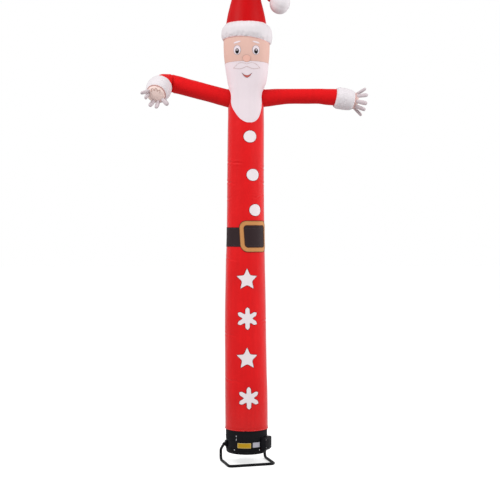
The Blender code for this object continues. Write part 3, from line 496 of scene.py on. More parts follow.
def between(rows, column, place):
    """A value between the rows of a table, on a smooth curve that does not overshoot."""
    last = len(rows) - 1
    index = 0
    while index < last - 1 and place > rows[index + 1][0]:
        index += 1

    def rise(at):
        return (rows[at + 1][column] - rows[at][column]) / (rows[at + 1][0] - rows[at][0])

    def slope(at):
        if at == 0 or at == last:
            return rise(min(at, last - 1))
        before, after = rise(at - 1), rise(at)
        return 0.0 if before * after <= 0 else 2 * before * after / (before + after)

    low, high = rows[index], rows[index + 1]
    span = high[0] - low[0]
    at_low, low_slope, at_high, high_slope = weights(min(max((place - low[0]) / span, 0.0), 1.0))
    return (at_low * low[column] + low_slope * span * slope(index)
            + at_high * high[column] + high_slope * span * slope(index + 1))


def apart(first, second):
    """The smaller angle from one turn to another, signed."""
    return (first - second + pi) % TAU - pi


def about(turn, radius, height, sway=0.0):
    """A point at a turn round the upright axis."""
    return Vector((sway + radius * sin(turn), -radius * cos(turn), height))


def own_turn(place):
    """The turn of a point round the upright axis, and 0 on it."""
    return atan2(place.x, -place.y) if place.xy.length > ON_AXIS else 0.0


def ring(at, count=60):
    """A closed path round a surface at one station."""
    return [(TAU * step / count, at) for step in range(count)]


def upright(turn, low, high):
    """A straight path up a surface."""
    return [(turn, low), (turn, high)]


def uneven(turn, size, third, shift=0.0):
    """Smooth noise round a turn, from -1 to 1."""
    return noise.noise(Vector((size * sin(turn) + shift, size * cos(turn), third)))


def ripple(turn, count, seed):
    """Uneven waves round a seam, from -1 to 1."""
    swell = 0.6 + 0.8 * uneven(turn, 3.7, seed + 9.0)
    return swell * sin(count * turn + 7.0 * uneven(turn, 2.1, seed))


def gather(out, turn, place, gathers, seed=0.0):
    """How far cloth stands out, with the waves beside its sewn rows added."""
    for at, count, reach, depth in gathers:
        far = abs(place - at) / reach
        if far < 4.0:
            out += depth * exp(-far) * ripple(turn, count, at + seed)
    return out


def slack_cloth(turn, height):
    """1 on a single layer of cloth, falling to 0 where a sewn patch stiffens it."""
    slack = 1.0
    for at, middle, reach in STIFF_PLACES:
        up = height - at
        if abs(up) < reach + 0.05:
            across = apart(turn, radians(middle)) * SKIN_WIDTH
            slack = min(slack, max((sqrt(across * across + up * up) - reach) / 0.05, 0.0))
    return slack


def body_crease(turn, height):
    """How far the blown-up skin stands out from its smooth rows."""
    out = 0.0022 * uneven(turn, 1.6, 1.5 * height)
    out += 0.0009 * uneven(turn, 5.0, 5.0 * height)
    for at, slope, middle, half, depth in BODY_CREASES:
        off = apart(turn, radians(middle)) / radians(half)
        if abs(off) < 1.0:
            lie = at + slope * off * radians(half) * SKIN_WIDTH
            dip = (height - lie - 0.016 * uneven(turn, 3, at)) / CREASE_WIDTH
            if abs(dip) < 4.0:
                out -= (depth * (1 - off * off) * slack_cloth(turn, height)
                        * (exp(-dip * dip) - 0.5 * exp(-(abs(dip) - 1.9) ** 2)))
    out = gather(out, turn, height, GATHERS)
    for sign, at, radius in SHOULDERS:
        across = apart(turn, sign * pi / 2) * 0.19
        up = height - at
        far = sqrt(across * across + up * up) - radius
        if -0.03 < far < 0.20:
            out += 0.0026 * exp(-max(far, 0.0) / 0.055) * ripple(atan2(across, up), 17, at + sign)
    return out


def skin(turn, height, lift=0.0):
    """A point on the cloth of the body and head."""
    radius = between(SKIN_ROWS, 1, height) + body_crease(turn, height) + lift
    return about(turn, radius, height, between(SKIN_ROWS, 2, height))


def front(turn, height, lift=0.0):
    """A point on the front of the head, where the beard runs straight past the neck."""
    place = skin(turn, height, lift)
    low, high = CHIN_HEIGHTS
    if not low < height < high:
        return place
    at_low, low_slope, at_high, high_slope = weights((height - low) / (high - low))
    straight = (at_low * CHIN_RADII[0] + at_high * CHIN_RADII[1]
                + (high - low) * (CHIN_SLOPES[0] * low_slope + CHIN_SLOPES[1] * high_slope))
    off = apart(turn, 0.0) / radians(max(between(BEARD_HALVES, 1, height) - 6.0, 10.0))
    gap = max(straight - between(SKIN_ROWS, 1, height), 0.0) * max(1 - off ** 4, 0.0)
    return place + about(turn, 1.0, 0.0) * gap


class Course:
    """A line through points, with a side and an up at every distance along it."""

    def __init__(self, points, ups=None, first_up=None, closed=False):
        points = list(points)
        if closed:
            points.append(points[0])
            ups = [*ups, ups[0]] if ups else None
        ways = [(b - a).normalized() for a, b in zip(points, points[1:])]
        inner = [(a + b).normalized() for a, b in zip(ways, ways[1:])]
        ends = [(ways[-1] + ways[0]).normalized()] * 2 if closed else [ways[0], ways[-1]]
        ways = [ends[0], *inner, ends[1]]
        if ups is None:
            ups = [first_up]
            for before, after in zip(ways, ways[1:]):
                ups.append(before.rotation_difference(after) @ ups[-1])
        self.marks = [0.0]
        for before, after in zip(points, points[1:]):
            self.marks.append(self.marks[-1] + (after - before).length)
        self.length = self.marks[-1]
        self.rows = []
        for point, way, up in zip(points, ways, ups):
            up = (up - way * up.dot(way)).normalized()
            self.rows.append((point, way.cross(up), up, way))

    def at(self, distance):
        low, high = 0, len(self.marks) - 1
        while high - low > 1:
            middle = (low + high) // 2
            if self.marks[middle] > distance:
                high = middle
            else:
                low = middle
        share = (distance - self.marks[low]) / max(self.marks[high] - self.marks[low], 1e-9)
        return [a.lerp(b, share) for a, b in zip(self.rows[low], self.rows[high])]

    def beside(self, distance, turn, radius, flatness=1.0):
        """A point round the line, at a turn from its up."""
        centre, side, up, _ = self.at(distance)
        return centre + side * (sin(turn) * radius) + up * (cos(turn) * radius * flatness)


def smooth_points(rows, step=0.008):
    """Points every step along a smooth line through rows that start with x, y, z."""
    marks = [0.0]
    for before, after in zip(rows, rows[1:]):
        marks.append(marks[-1] + (Vector(after[:3]) - Vector(before[:3])).length)
    table = [(mark, *row) for mark, row in zip(marks, rows)]
    count = max(int(marks[-1] / step), 4)
    places = [marks[-1] * number / count for number in range(count + 1)]
    points = [Vector([between(table, column, place) for column in (1, 2, 3)]) for place in places]
    return points, table


def limb_frame(start, way):
    """The matrix that stands a piece spun about Z at a start, along a way."""
    way = Vector(way).normalized()
    side = Vector((0, 0, 1)).cross(way).normalized()
    rotation = Matrix((side, way.cross(side), way)).transposed().to_4x4()
    return Matrix.Translation(start) @ rotation


def spread(low, high, step):
    """Even places from low to high, about a step apart."""
    count = max(int(round((high - low) / step)), 1)
    return [low + (high - low) * number / count for number in range(count + 1)]


# ------------------------------------------------------------------ meshes
def spin(bm, geom, sides):
    bmesh.ops.spin(bm, geom=geom, cent=(0, 0, 0), axis=(0, 0, 1), dvec=(0, 0, 0), angle=TAU,
                   steps=sides, use_merge=True, use_duplicate=False)


def spin_up(profile, sides, closed=False):
    """Spin (radius, height) corners about Z into a surface."""
    bm = bmesh.new()
    corners = [bm.verts.new((0.0, -radius, height)) for radius, height in profile]
    pairs = list(zip(corners, corners[1:]))
    if closed:
        pairs.append((corners[-1], corners[0]))
    spin(bm, corners + [bm.edges.new(pair) for pair in pairs], sides)
    return bm


def weld(bm, near=0.00001, verts=None):
    bmesh.ops.remove_doubles(bm, verts=bm.verts[:] if verts is None else verts, dist=near)


def weld_poles(bm):
    """Make one corner of those that a spin leaves on its axis."""
    weld(bm, verts=[vert for vert in bm.verts if vert.co.xy.length < ON_AXIS])


def join(bm, part):
    """Move all of a bmesh into another."""
    holder = bpy.data.meshes.new("part")
    part.to_mesh(holder)
    part.free()
    bm.from_mesh(holder)
    bpy.data.meshes.remove(holder)


def mark_cloth(bm, width):
    """Write the flat cut of a spun cloth to its UV map, in metres."""
    flat = bm.loops.layers.uv.new("cut")
    for face in bm.faces:
        middle = face.calc_center_median()
        turn = atan2(middle.x, -middle.y)
        for loop in face.loops:
            place = loop.vert.co
            own = turn + apart(own_turn(place), turn) if place.xy.length > ON_AXIS else turn
            height = place.z - INNER if place.z > INNER / 2 else place.z
            loop[flat].uv = (own * width, height)


def cloth_tube(name, stations, surface, material, width, sides=AROUND, wall=WALL, capped=False):
    """A spun tube of cloth laid on a surface, closed over at its last station when capped.

    Without a wall it is one layer, for blowing up before it gets its wall.
    """
    outer = [(1.0, station) for station in stations]
    if capped:
        outer[-1] = (0.0, stations[-1])
    inner = [(radius, station + INNER) for radius, station in reversed(outer)]
    if capped or not wall:
        bm = spin_up(outer, sides)
        if wall:
            join(bm, spin_up(inner, sides))
        weld_poles(bm)
        if wall:
            rims = [edge for edge in bm.edges if len(edge.link_faces) == 1]
            bmesh.ops.bridge_loops(bm, edges=rims)
    else:
        bm = spin_up(outer + inner, sides, closed=True)
    mark_cloth(bm, width)
    for vert in bm.verts:
        inside = vert.co.z > INNER / 2
        vert.co = surface(own_turn(vert.co), vert.co.z - (INNER if inside else 0.0),
                          -wall if inside else 0.0)
    return stand_up(bm, name, material)


def stand_up(bm, name, material, slot=None, smooth_below=60.0, turn_out=True):
    """Close a bmesh into a piece of the only body, standing for the CAD node of its name."""
    bmesh.ops.transform(bm, matrix=Matrix.Translation(AXIS), verts=bm.verts)
    if turn_out:
        bmesh.ops.recalc_face_normals(bm, faces=bm.faces[:])
    node = name if name in bpy.data.objects else None
    if node:
        name += MADE
    mesh = bpy.data.meshes.new(name)
    bm.to_mesh(mesh)
    bm.free()
    mesh.shade_smooth()
    mesh.set_sharp_from_angle(angle=radians(smooth_below))
    piece = bpy.data.objects.new(name, mesh)
    mesh.materials.append(bpy.data.materials[material + MADE])
    bpy.context.scene.collection.objects.link(piece)
    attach(piece, "root")
    slot or SLOTS.get(material, material)
    if node:
        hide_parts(node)
    return piece


def on_skin(turn, height, points):
    """Turn flat (right, up) points about a place into (turn, height) corners."""
    radius = between(SKIN_ROWS, 1, height)
    return [(radians(turn) + right / radius, height + up) for right, up in points]


def patch(name, outline, material, lift, wall=PATCH_WALL, hole=None, step=0.016, surface=skin,
          width=SKIN_WIDTH):
    """A patch of cloth with an outline of (turn, height) corners, laid on a surface."""
    bm = bmesh.new()
    rim = [bm.verts.new((turn, 0.0, height)) for turn, height in outline]
    if hole:
        inner = [bm.verts.new((turn, 0.0, height)) for turn, height in hole]
        edges = [bm.edges.new(pair) for loop in (rim, inner)
                 for pair in zip(loop, loop[1:] + loop[:1])]
        bmesh.ops.bridge_loops(bm, edges=edges)
    else:
        face = bm.faces.new(rim)
        face.normal_update()
        bmesh.ops.triangulate(bm, faces=[face])
    for normal, column, pitch in (((1, 0, 0), 0, step / width), ((0, 0, 1), 1, step)):
        places = [corner[column] for corner in outline]
        for place in spread(min(places), max(places), pitch)[1:-1]:
            everything = bm.verts[:] + bm.edges[:] + bm.faces[:]
            bmesh.ops.bisect_plane(bm, geom=everything, dist=1e-6, plane_no=normal,
                                   plane_co=Vector(normal) * place)
    grown = bmesh.ops.extrude_face_region(bm, geom=bm.faces[:])["geom"]
    for vert in (item for item in grown if isinstance(item, bmesh.types.BMVert)):
        vert.co.y = 1.0
    flat = bm.loops.layers.uv.new("cut")
    for face in bm.faces:
        for loop in face.loops:
            loop[flat].uv = (loop.vert.co.x * width, loop.vert.co.z)
    for vert in bm.verts:
        vert.co = surface(vert.co.x, vert.co.z, lift + wall * vert.co.y)
    return stand_up(bm, name, material, smooth_below=50.0)


def even_path(corners, pitch, closed, width=SKIN_WIDTH):
    """(turn, height) corners put every pitch along a path, measured on the cloth."""
    corners = list(corners)
    if closed:
        corners.append(corners[0])
    marks = [0.0]
    for (t0, h0), (t1, h1) in zip(corners, corners[1:]):
        marks.append(marks[-1] + sqrt(((t1 - t0) * width) ** 2 + (h1 - h0) ** 2))
    count = max(int(round(marks[-1] / pitch)), 3)
    path = []
    index = 0
    for number in range(count if closed else count + 1):
        goal = marks[-1] * number / count
        while index < len(marks) - 2 and marks[index + 1] < goal:
            index += 1
        share = (goal - marks[index]) / max(marks[index + 1] - marks[index], 1e-9)
        path.append(tuple(a + share * (b - a) for a, b in zip(corners[index], corners[index + 1])))
    return path


def course_on(surface, path, lift, closed):
    """The course of a path laid on a surface, with its ups pointing off the cloth."""
    points = [surface(turn, height, lift) for turn, height in path]
    ups = [(surface(turn, height, lift + 0.01) - point).normalized()
           for (turn, height), point in zip(path, points)]
    return Course(points, ups, closed=closed)


def cord_along(bm, course, half_wide, half_high, closed, sides, step):
    """Add a thin cord along a course. Its ends are rounded when it is open."""
    part = spin_up([(1.0, station) for station in spread(0.0, course.length, step)], sides)
    for vert in part.verts:
        turn = atan2(vert.co.x, -vert.co.y)
        centre, side, up, _ = course.at(vert.co.z)
        left = min(vert.co.z, course.length - vert.co.z) / half_wide
        size = 1.0 if closed or left > 1 else sqrt(max(1 - (1 - left) ** 2, 0.02))
        vert.co = (centre + side * (sin(turn) * half_wide * size)
                   + up * (cos(turn) * half_high * size))
    if closed:
        weld(part, 0.00002)
    else:
        bmesh.ops.holes_fill(part, edges=part.edges[:], sides=sides)
    bmesh.ops.recalc_face_normals(part, faces=part.faces[:])
    join(bm, part)


def edging(name, lines, end="", pitch=0.007, width=SKIN_WIDTH, sides=6, step=0.012):
    """Cords of a kind sewn along (surface, path, lift, closed) lines, all in one piece.

    A pitch first puts a path's corners evenly. With none, the path is used as it is.
    """
    material, half_wide, half_high, *slot = CORDS[name]
    bm = bmesh.new()
    for surface, path, lift, closed in lines:
        if pitch:
            path = even_path(path, pitch, closed, width)
        course = course_on(surface, path, lift, closed)
        cord_along(bm, course, half_wide, half_high, closed, sides, step)
    return stand_up(bm, name + end, material, *slot, turn_out=False)


def stitching(name, lines, material, slot=None):
    """Rows of stitches along (surface, path, lift, closed) lines, all in one piece."""
    pitch = bpy.context.scene.air_cloth.stitch
    bm = bmesh.new()
    for surface, path, lift, closed in lines:
        course = course_on(surface, even_path(path, 0.008, closed), lift, closed)
        count = max(int(course.length / pitch), 2)
        part = bmesh.new()
        for number in range(count):
            middle = course.length * (number + 0.5) / count
            row = [part.verts.new((0.0, -radius, middle + share * STITCH_LENGTH / 2))
                   for radius, share in STITCH_OUTLINE]
            for pair in zip(row, row[1:]):
                part.edges.new(pair)
        spin(part, part.verts[:] + part.edges[:], 6)
        weld_poles(part)
        for vert in part.verts:
            centre, side, up, _ = course.at(vert.co.z)
            vert.co = (centre + side * (vert.co.x * STITCH_HALF_WIDE)
                       - up * (vert.co.y * STITCH_HALF_WIDE * 0.8))
        bmesh.ops.recalc_face_normals(part, faces=part.faces[:])
        join(bm, part)
    return stand_up(bm, name, material, slot, turn_out=False)


def simulate(piece, held, pressure, growth, cap):
    """Blow a layer of cloth up with its sewn edge held, and keep its new shape."""
    start = [vert.co.copy() for vert in piece.data.vertices]
    group = piece.vertex_groups.new(name="sewn")
    group.add(held, 1.0, "REPLACE")
    change = piece.modifiers.new("air", "CLOTH")
    for key, value in AIR_CLOTH.items():
        setattr(change.settings, key, value)
    change.settings.uniform_pressure_force = pressure
    change.settings.shrink_min = -growth
    change.settings.vertex_group_mass = group.name
    change.settings.effector_weights.gravity = 0.0
    change.collision_settings.use_collision = False
    scene = bpy.context.scene
    for number in range(1, AIR_FRAMES + 1):
        scene.frame_set(number)
    graph = bpy.context.evaluated_depsgraph_get()
    blown = [vert.co.copy() for vert in piece.evaluated_get(graph).data.vertices]
    piece.modifiers.remove(change)
    piece.vertex_groups.remove(group)
    scene.frame_set(1)
    for vert, before, after in zip(piece.data.vertices, start, blown):
        move = after - before
        if move.length > cap:
            move *= cap / move.length
        vert.co = before + move


def blow_up(piece, held, pressure, growth, cap):
    """Blow a layer of cloth up, then give it a wall and a smooth surface."""
    simulate(piece, held, pressure, growth, cap)
    solid = piece.modifiers.new("wall", "SOLIDIFY")
    solid.thickness = WALL
    solid.offset = -1.0
    smooth = piece.modifiers.new("smooth", "SUBSURF")
    smooth.levels = smooth.render_levels = 1


# ------------------------------------------------------------------ outlines
def oval(width, height, count=56, tilt=0.0):
    lean = radians(tilt)
    points = []
    for step in range(count):
        angle = TAU * step / count
        right, up = width / 2 * cos(angle), height / 2 * sin(angle)
        points.append((right * cos(lean) - up * sin(lean), right * sin(lean) + up * cos(lean)))
    return points


def round_frame(width, height, corner, steps=12):
    points = []
    for quarter, (x_side, z_side) in enumerate(((1, 1), (-1, 1), (-1, -1), (1, -1))):
        x_mid, z_mid = x_side * (width / 2 - corner), z_side * (height / 2 - corner)
        for step in range(steps + 1):
            angle = (quarter + step / steps) * pi / 2
            points.append((x_mid + corner * cos(angle), z_mid + corner * sin(angle)))
    return points


def soften(points, radius, steps=5):
    """Round the corners of an outline."""
    made = []
    count = len(points)
    for number in range(count):
        before, here, after = (Vector(points[(number + k) % count]) for k in (-1, 0, 1))
        into, out = before - here, after - here
        reach = min(radius, into.length * 0.45, out.length * 0.45)
        first, last = here + into.normalized() * reach, here + out.normalized() * reach
        for step in range(steps + 1):
            t = step / steps
            made.append(tuple(first * (1 - t) ** 2 + here * 2 * t * (1 - t) + last * t ** 2))
    return made


def star(width):
    points = []
    for step in range(10):
        reach = width / 2 * (STAR_WAIST if step % 2 else 1.0)
        angle = pi / 2 + step * pi / 5
        points.append((reach * cos(angle), reach * sin(angle)))
    return soften(points, 0.016)


def flake(width):
    points = []
    half, reach = FLAKE_ARM / 2, width / 2
    root = half / tan(pi / 6)
    for arm in range(6):
        angle = pi / 2 + arm * pi / 3
        for along, aside in ((root, -half), (reach - half, -half), (reach, 0.0),
                             (reach - half, half)):
            points.append((along * cos(angle) - aside * sin(angle),
                           along * sin(angle) + aside * cos(angle)))
    return soften(points, 0.010, 4)


def smile(width, depth, lip, steps=24):
    upper = []
    lower = []
    for step in range(steps + 1):
        share = step / steps
        right = width * (share - 0.5)
        sag = depth * (1 - (2 * share - 1) ** 2)
        upper.append((right, -sag))
        lower.append((right, -sag - lip * sin(pi * share)))
    return lower[:-1] + upper[:0:-1]


def moustache(span, height, steps=22):
    top = []
    bottom = []
    for step in range(2 * steps + 1):
        share = step / steps - 1.0
        reach = abs(share)
        right = share * span / 2
        middle = -0.35 * height * reach ** 2 + 0.12 * height
        thick = height * (0.24 + 0.62 * sin(pi * min(reach * 1.15, 1.0)) ** 0.8) * (1 - reach ** 6)
        top.append((right, middle + thick / 2))
        bottom.append((right, middle - thick / 2))
    return bottom + top[-2:0:-1]


def beard_outline():
    """The beard's edge, down its left side and up its right, drawn smoothly."""
    rows = sorted(BEARD_ROWS)
    heights = spread(rows[0][0], rows[-1][0], 0.010)
    left = [(radians(between(rows, 1, h) - between(rows, 2, h)), h) for h in reversed(heights)]
    right = [(radians(between(rows, 1, h) + between(rows, 2, h)), h) for h in heights]
    return left + right


def signed_area(points):
    """The area inside flat points, below 0 when they run clockwise."""
    return sum(before.x * here.y - here.x * before.y
               for before, here in zip(points[-1:] + points, points)) / 2


def shrink(outline, inset, width=SKIN_WIDTH):
    """An outline drawn a little inside itself."""
    flat = [Vector((turn * width, height)) for turn, height in outline]
    sign = 1.0 if signed_area(flat) > 0 else -1.0
    made = []
    for before, here, after in zip(flat[-1:] + flat, flat, flat[1:] + flat[:1]):
        way = after - before
        if way.length < 1e-9:
            continue
        way.normalize()
        spot = here + Vector((-way.y, way.x)) * sign * inset
        made.append((spot.x / width, spot.y))
    return made


# ------------------------------------------------------------------ materials
def feed(node, **inputs):
    """Feed or set a node's sockets by name, or by number as s0, s1 and so on."""
    for key, value in inputs.items():
        socket = node.inputs[int(key[1:]) if key[1:].isdigit() else key.replace("_", " ")]
        if isinstance(value, bpy.types.NodeSocket):
            node.id_data.links.new(value, socket)
        else:
            socket.default_value = value
    return node


def wire(tree, kind, settings=(), **inputs):
    """Add a node, set its settings, and feed its sockets."""
    node = tree.nodes.new(kind)
    for key, value in dict(settings).items():
        setattr(node, key, value)
    return feed(node, **inputs)


def maths(tree):
    """Functions that add a node for a sum, difference, product and any other operation."""
    def work(operation, first, second=0.0, clamp=False):
        return wire(tree, "ShaderNodeMath", {"operation": operation, "use_clamp": clamp},
                    s0=first, s1=second).outputs[0]
    return (*(partial(work, kind) for kind in ("ADD", "SUBTRACT", "MULTIPLY")), work)


def noise_on(tree, place, **inputs):
    return wire(tree, "ShaderNodeTexNoise", Vector=place, **inputs).outputs["Fac"]


def grouped(tree, name, **inputs):
    settings = {"node_tree": bpy.data.node_groups[name]}
    return wire(tree, "ShaderNodeGroup", settings, **inputs).outputs


def new_group(name, takes, gives):
    """A shader node group with (name, kind, default) inputs and (name, kind) outputs."""
    tree = bpy.data.node_groups.new(name, "ShaderNodeTree")
    for label, kind, value in takes:
        socket = tree.interface.new_socket(label, in_out="INPUT", socket_type="NodeSocket" + kind)
        if value is not None:
            socket.default_value = value
    for label, kind in gives:
        tree.interface.new_socket(label, in_out="OUTPUT", socket_type="NodeSocket" + kind)
    return tree, tree.nodes.new("NodeGroupInput").outputs, tree.nodes.new("NodeGroupOutput")


def make_weave_group():
    """Plain weave with thicker ripstop yarns, from a flat cut in metres."""
    tree, takes, gives = new_group(
        "ripstop weave",
        [("Cut", "Vector", None), ("Yarn", "Float", 0.0009), ("Grid", "Float", 0.006)],
        [("Height", "Float"), ("Grid Mask", "Float")])
    add, subtract, multiply, work = maths(tree)
    parts = wire(tree, "ShaderNodeSeparateXYZ", Vector=takes["Cut"]).outputs
    yarns = []
    lines = []
    for part in (parts["X"], parts["Y"]):
        yarns.append(work("SINE", multiply(work("DIVIDE", part, takes["Yarn"]), TAU)))
        cell = work("FRACT", work("DIVIDE", part, takes["Grid"]))
        far = work("ABSOLUTE", subtract(cell, 0.5))
        lines.append(subtract(1.0, multiply(far, 9.0), clamp=True))
    grid = work("MAXIMUM", lines[0], lines[1])
    height = add(multiply(multiply(yarns[0], yarns[1]), 0.35), multiply(grid, 0.65))
    feed(gives, Height=height, Grid_Mask=grid)


def make_crumple_group():
    """Soft waves that air leaves in slack cloth, and faint pulls across them."""
    tree, takes, gives = new_group("soft crumple", [("Place", "Vector", None)],
                                   [("Height", "Float")])
    _, subtract, multiply, work = maths(tree)
    broad = noise_on(tree, takes["Place"], Scale=13.0, Detail=3.0, Roughness=0.55)
    squash = wire(tree, "ShaderNodeMapping", Vector=takes["Place"], Scale=(7.0, 7.0, 42.0))
    pulls = noise_on(tree, squash.outputs[0], Scale=1.0, Detail=2.0, Roughness=0.5)
    ridge = work("ABSOLUTE", subtract(pulls, 0.5))
    groove = subtract(1.0, multiply(ridge, 14.0), clamp=True)
    place = multiply(subtract(broad, 0.52), 7.0, clamp=True)
    feed(gives, Height=subtract(broad, multiply(multiply(groove, place), 0.12)))


def make_tone_group():
    """Broad uneven tone of blown-up cloth, with faint streaks, dust low down, and painted shade
    that darkens it towards the bottom.
    """
    tree, takes, gives = new_group(
        "uneven tone",
        [("Place", "Vector", None), ("Colour", "Color", (1, 1, 1, 1)), ("Amount", "Float", 0.1),
         ("Dust", "Float", 0.2), ("Grime", "Float", 0.0)],
        [("Colour", "Color"), ("Mask", "Float")])
    add, subtract, multiply, work = maths(tree)
    broad = noise_on(tree, takes["Place"], Scale=3.5, Detail=4.0, Roughness=0.55)
    stretch = wire(tree, "ShaderNodeMapping", Vector=takes["Place"], Scale=(26.0, 26.0, 1.6))
    streak = noise_on(tree, stretch.outputs[0], Scale=1.0, Detail=3.0)
    both = add(multiply(broad, 1.2), multiply(streak, 0.8))
    swing = multiply(subtract(both, 1.0), takes["Amount"])
    height = wire(tree, "ShaderNodeSeparateXYZ", Vector=takes["Place"]).outputs["Z"]
    # Painted shade: the colour is darkened towards the bottom by the Shade amount, fading out 1.2 m
    # up
    foot = subtract(1.0, work("DIVIDE", height, 1.2), clamp=True)
    shade_scale = subtract(1.0, multiply(foot, takes["Grime"]))
    shaded = wire(tree, "ShaderNodeVectorMath", {"operation": "SCALE"}, s0=takes["Colour"],
                  Scale=multiply(add(swing, 1.0), shade_scale))
    low = subtract(1.0, work("DIVIDE", height, 0.8), clamp=True)
    speck = noise_on(tree, takes["Place"], Scale=60.0, Detail=5.0)
    dust = multiply(multiply(low, speck), takes["Dust"], clamp=True)
    mixed = wire(tree, "ShaderNodeMix", {"data_type": "RGBA"}, s0=dust, s6=shaded.outputs[0],
                 s7=(0.42, 0.37, 0.32, 1.0))
    feed(gives, Colour=mixed.outputs[2], Mask=broad)


def make_grain_group():
    """Moulded or powder-coated grain with a few scuffs."""
    tree, takes, gives = new_group(
        "moulded grain",
        [("Place", "Vector", None), ("Grain", "Float", 900.0), ("Scuff", "Float", 0.3)],
        [("Height", "Float"), ("Scuff Mask", "Float")])
    _, subtract, multiply, _ = maths(tree)
    grain = noise_on(tree, takes["Place"], Scale=takes["Grain"], Detail=2.0)
    wide = noise_on(tree, takes["Place"], Scale=14.0, Detail=6.0, Roughness=0.7)
    worn = multiply(subtract(wide, 0.56), 9.0, clamp=True)
    feed(gives, Height=grain, Scuff_Mask=multiply(worn, takes["Scuff"]))


def new_material(name):
    made = bpy.data.materials.new(name + MADE)
    made.use_nodes = True
    return made.node_tree, made.node_tree.nodes["Principled BSDF"]


def bump(tree, strength, distance, height, **inputs):
    return wire(tree, "ShaderNodeBump", Strength=strength, Distance=distance, Height=height,
                **inputs).outputs[0]


def cloth_material(name, colour, roughness=0.50, sheen=0.10, amount=0.10, dust=0.12, yarn=1.0,
                   crumple=0.001, grime=0.0, fuzz=0.20):
    """Coated ripstop nylon: weave, ripstop yarns, uneven tone and a soft sheen, with painted shade
    low down where asked.
    """
    tree, shader = new_material(name)
    place = wire(tree, "ShaderNodeTexCoord").outputs["Object"]
    add, subtract, multiply, _ = maths(tree)
    cloth = bpy.context.scene.air_cloth
    weave = grouped(tree, "ripstop weave", Yarn=cloth.yarn * yarn, Grid=cloth.grid * yarn,
                    Cut=wire(tree, "ShaderNodeUVMap", {"uv_map": "cut"}).outputs[0])
    tone = grouped(tree, "uneven tone", Place=place, Colour=(*colour, 1.0), Amount=amount,
                   Dust=dust, Grime=grime)
    shaded = wire(tree, "ShaderNodeVectorMath", {"operation": "SCALE"}, s0=tone["Colour"],
                  Scale=subtract(1.0, multiply(weave["Grid Mask"], 0.10)))
    slack = bump(tree, 1.0, crumple, grouped(tree, "soft crumple", Place=place)["Height"])
    feed(shader, Base_Color=shaded.outputs[0],
         Roughness=add(multiply(tone["Mask"], 0.16), roughness - 0.08),
         Normal=bump(tree, 0.5, 0.00006, weave["Height"], Normal=slack),
         Sheen_Weight=sheen, Sheen_Roughness=fuzz, Specular_IOR_Level=0.09)


def hard_material(name, colour, roughness, grain, relief, scuff, metallic=0.0,
                  wear=(0.1, 0.1, 0.1)):
    """Moulded plastic, powder coat or bare metal, with grain and a few scuffs."""
    tree, shader = new_material(name)
    place = wire(tree, "ShaderNodeTexCoord").outputs["Object"]
    add, _, multiply, _ = maths(tree)
    group = grouped(tree, "moulded grain", Place=place, Grain=grain, Scuff=scuff)
    tone = grouped(tree, "uneven tone", Place=place, Colour=(*colour, 1.0), Amount=0.12, Dust=0.012)
    mixed = wire(tree, "ShaderNodeMix", {"data_type": "RGBA"}, s0=group["Scuff Mask"],
                 s6=tone["Colour"], s7=(*wear, 1.0))
    feed(shader, Base_Color=mixed.outputs[2],
         Roughness=add(multiply(group["Scuff Mask"], 0.3), roughness),
         Normal=bump(tree, relief, 0.00006, group["Height"]),
         Metallic=metallic, Specular_IOR_Level=0.08)


def thread_material(name, colour):
    """Twisted thread."""
    tree, shader = new_material(name)
    place = wire(tree, "ShaderNodeTexCoord").outputs["Object"]
    twist = noise_on(tree, place, Scale=1400.0, Detail=2.0)
    tone = grouped(tree, "uneven tone", Place=place, Colour=(*colour, 1.0), Amount=0.15, Dust=0.05)
    feed(shader, Base_Color=tone["Colour"], Normal=bump(tree, 0.6, 0.00003, twist),
         Roughness=0.6, Specular_IOR_Level=0.10)


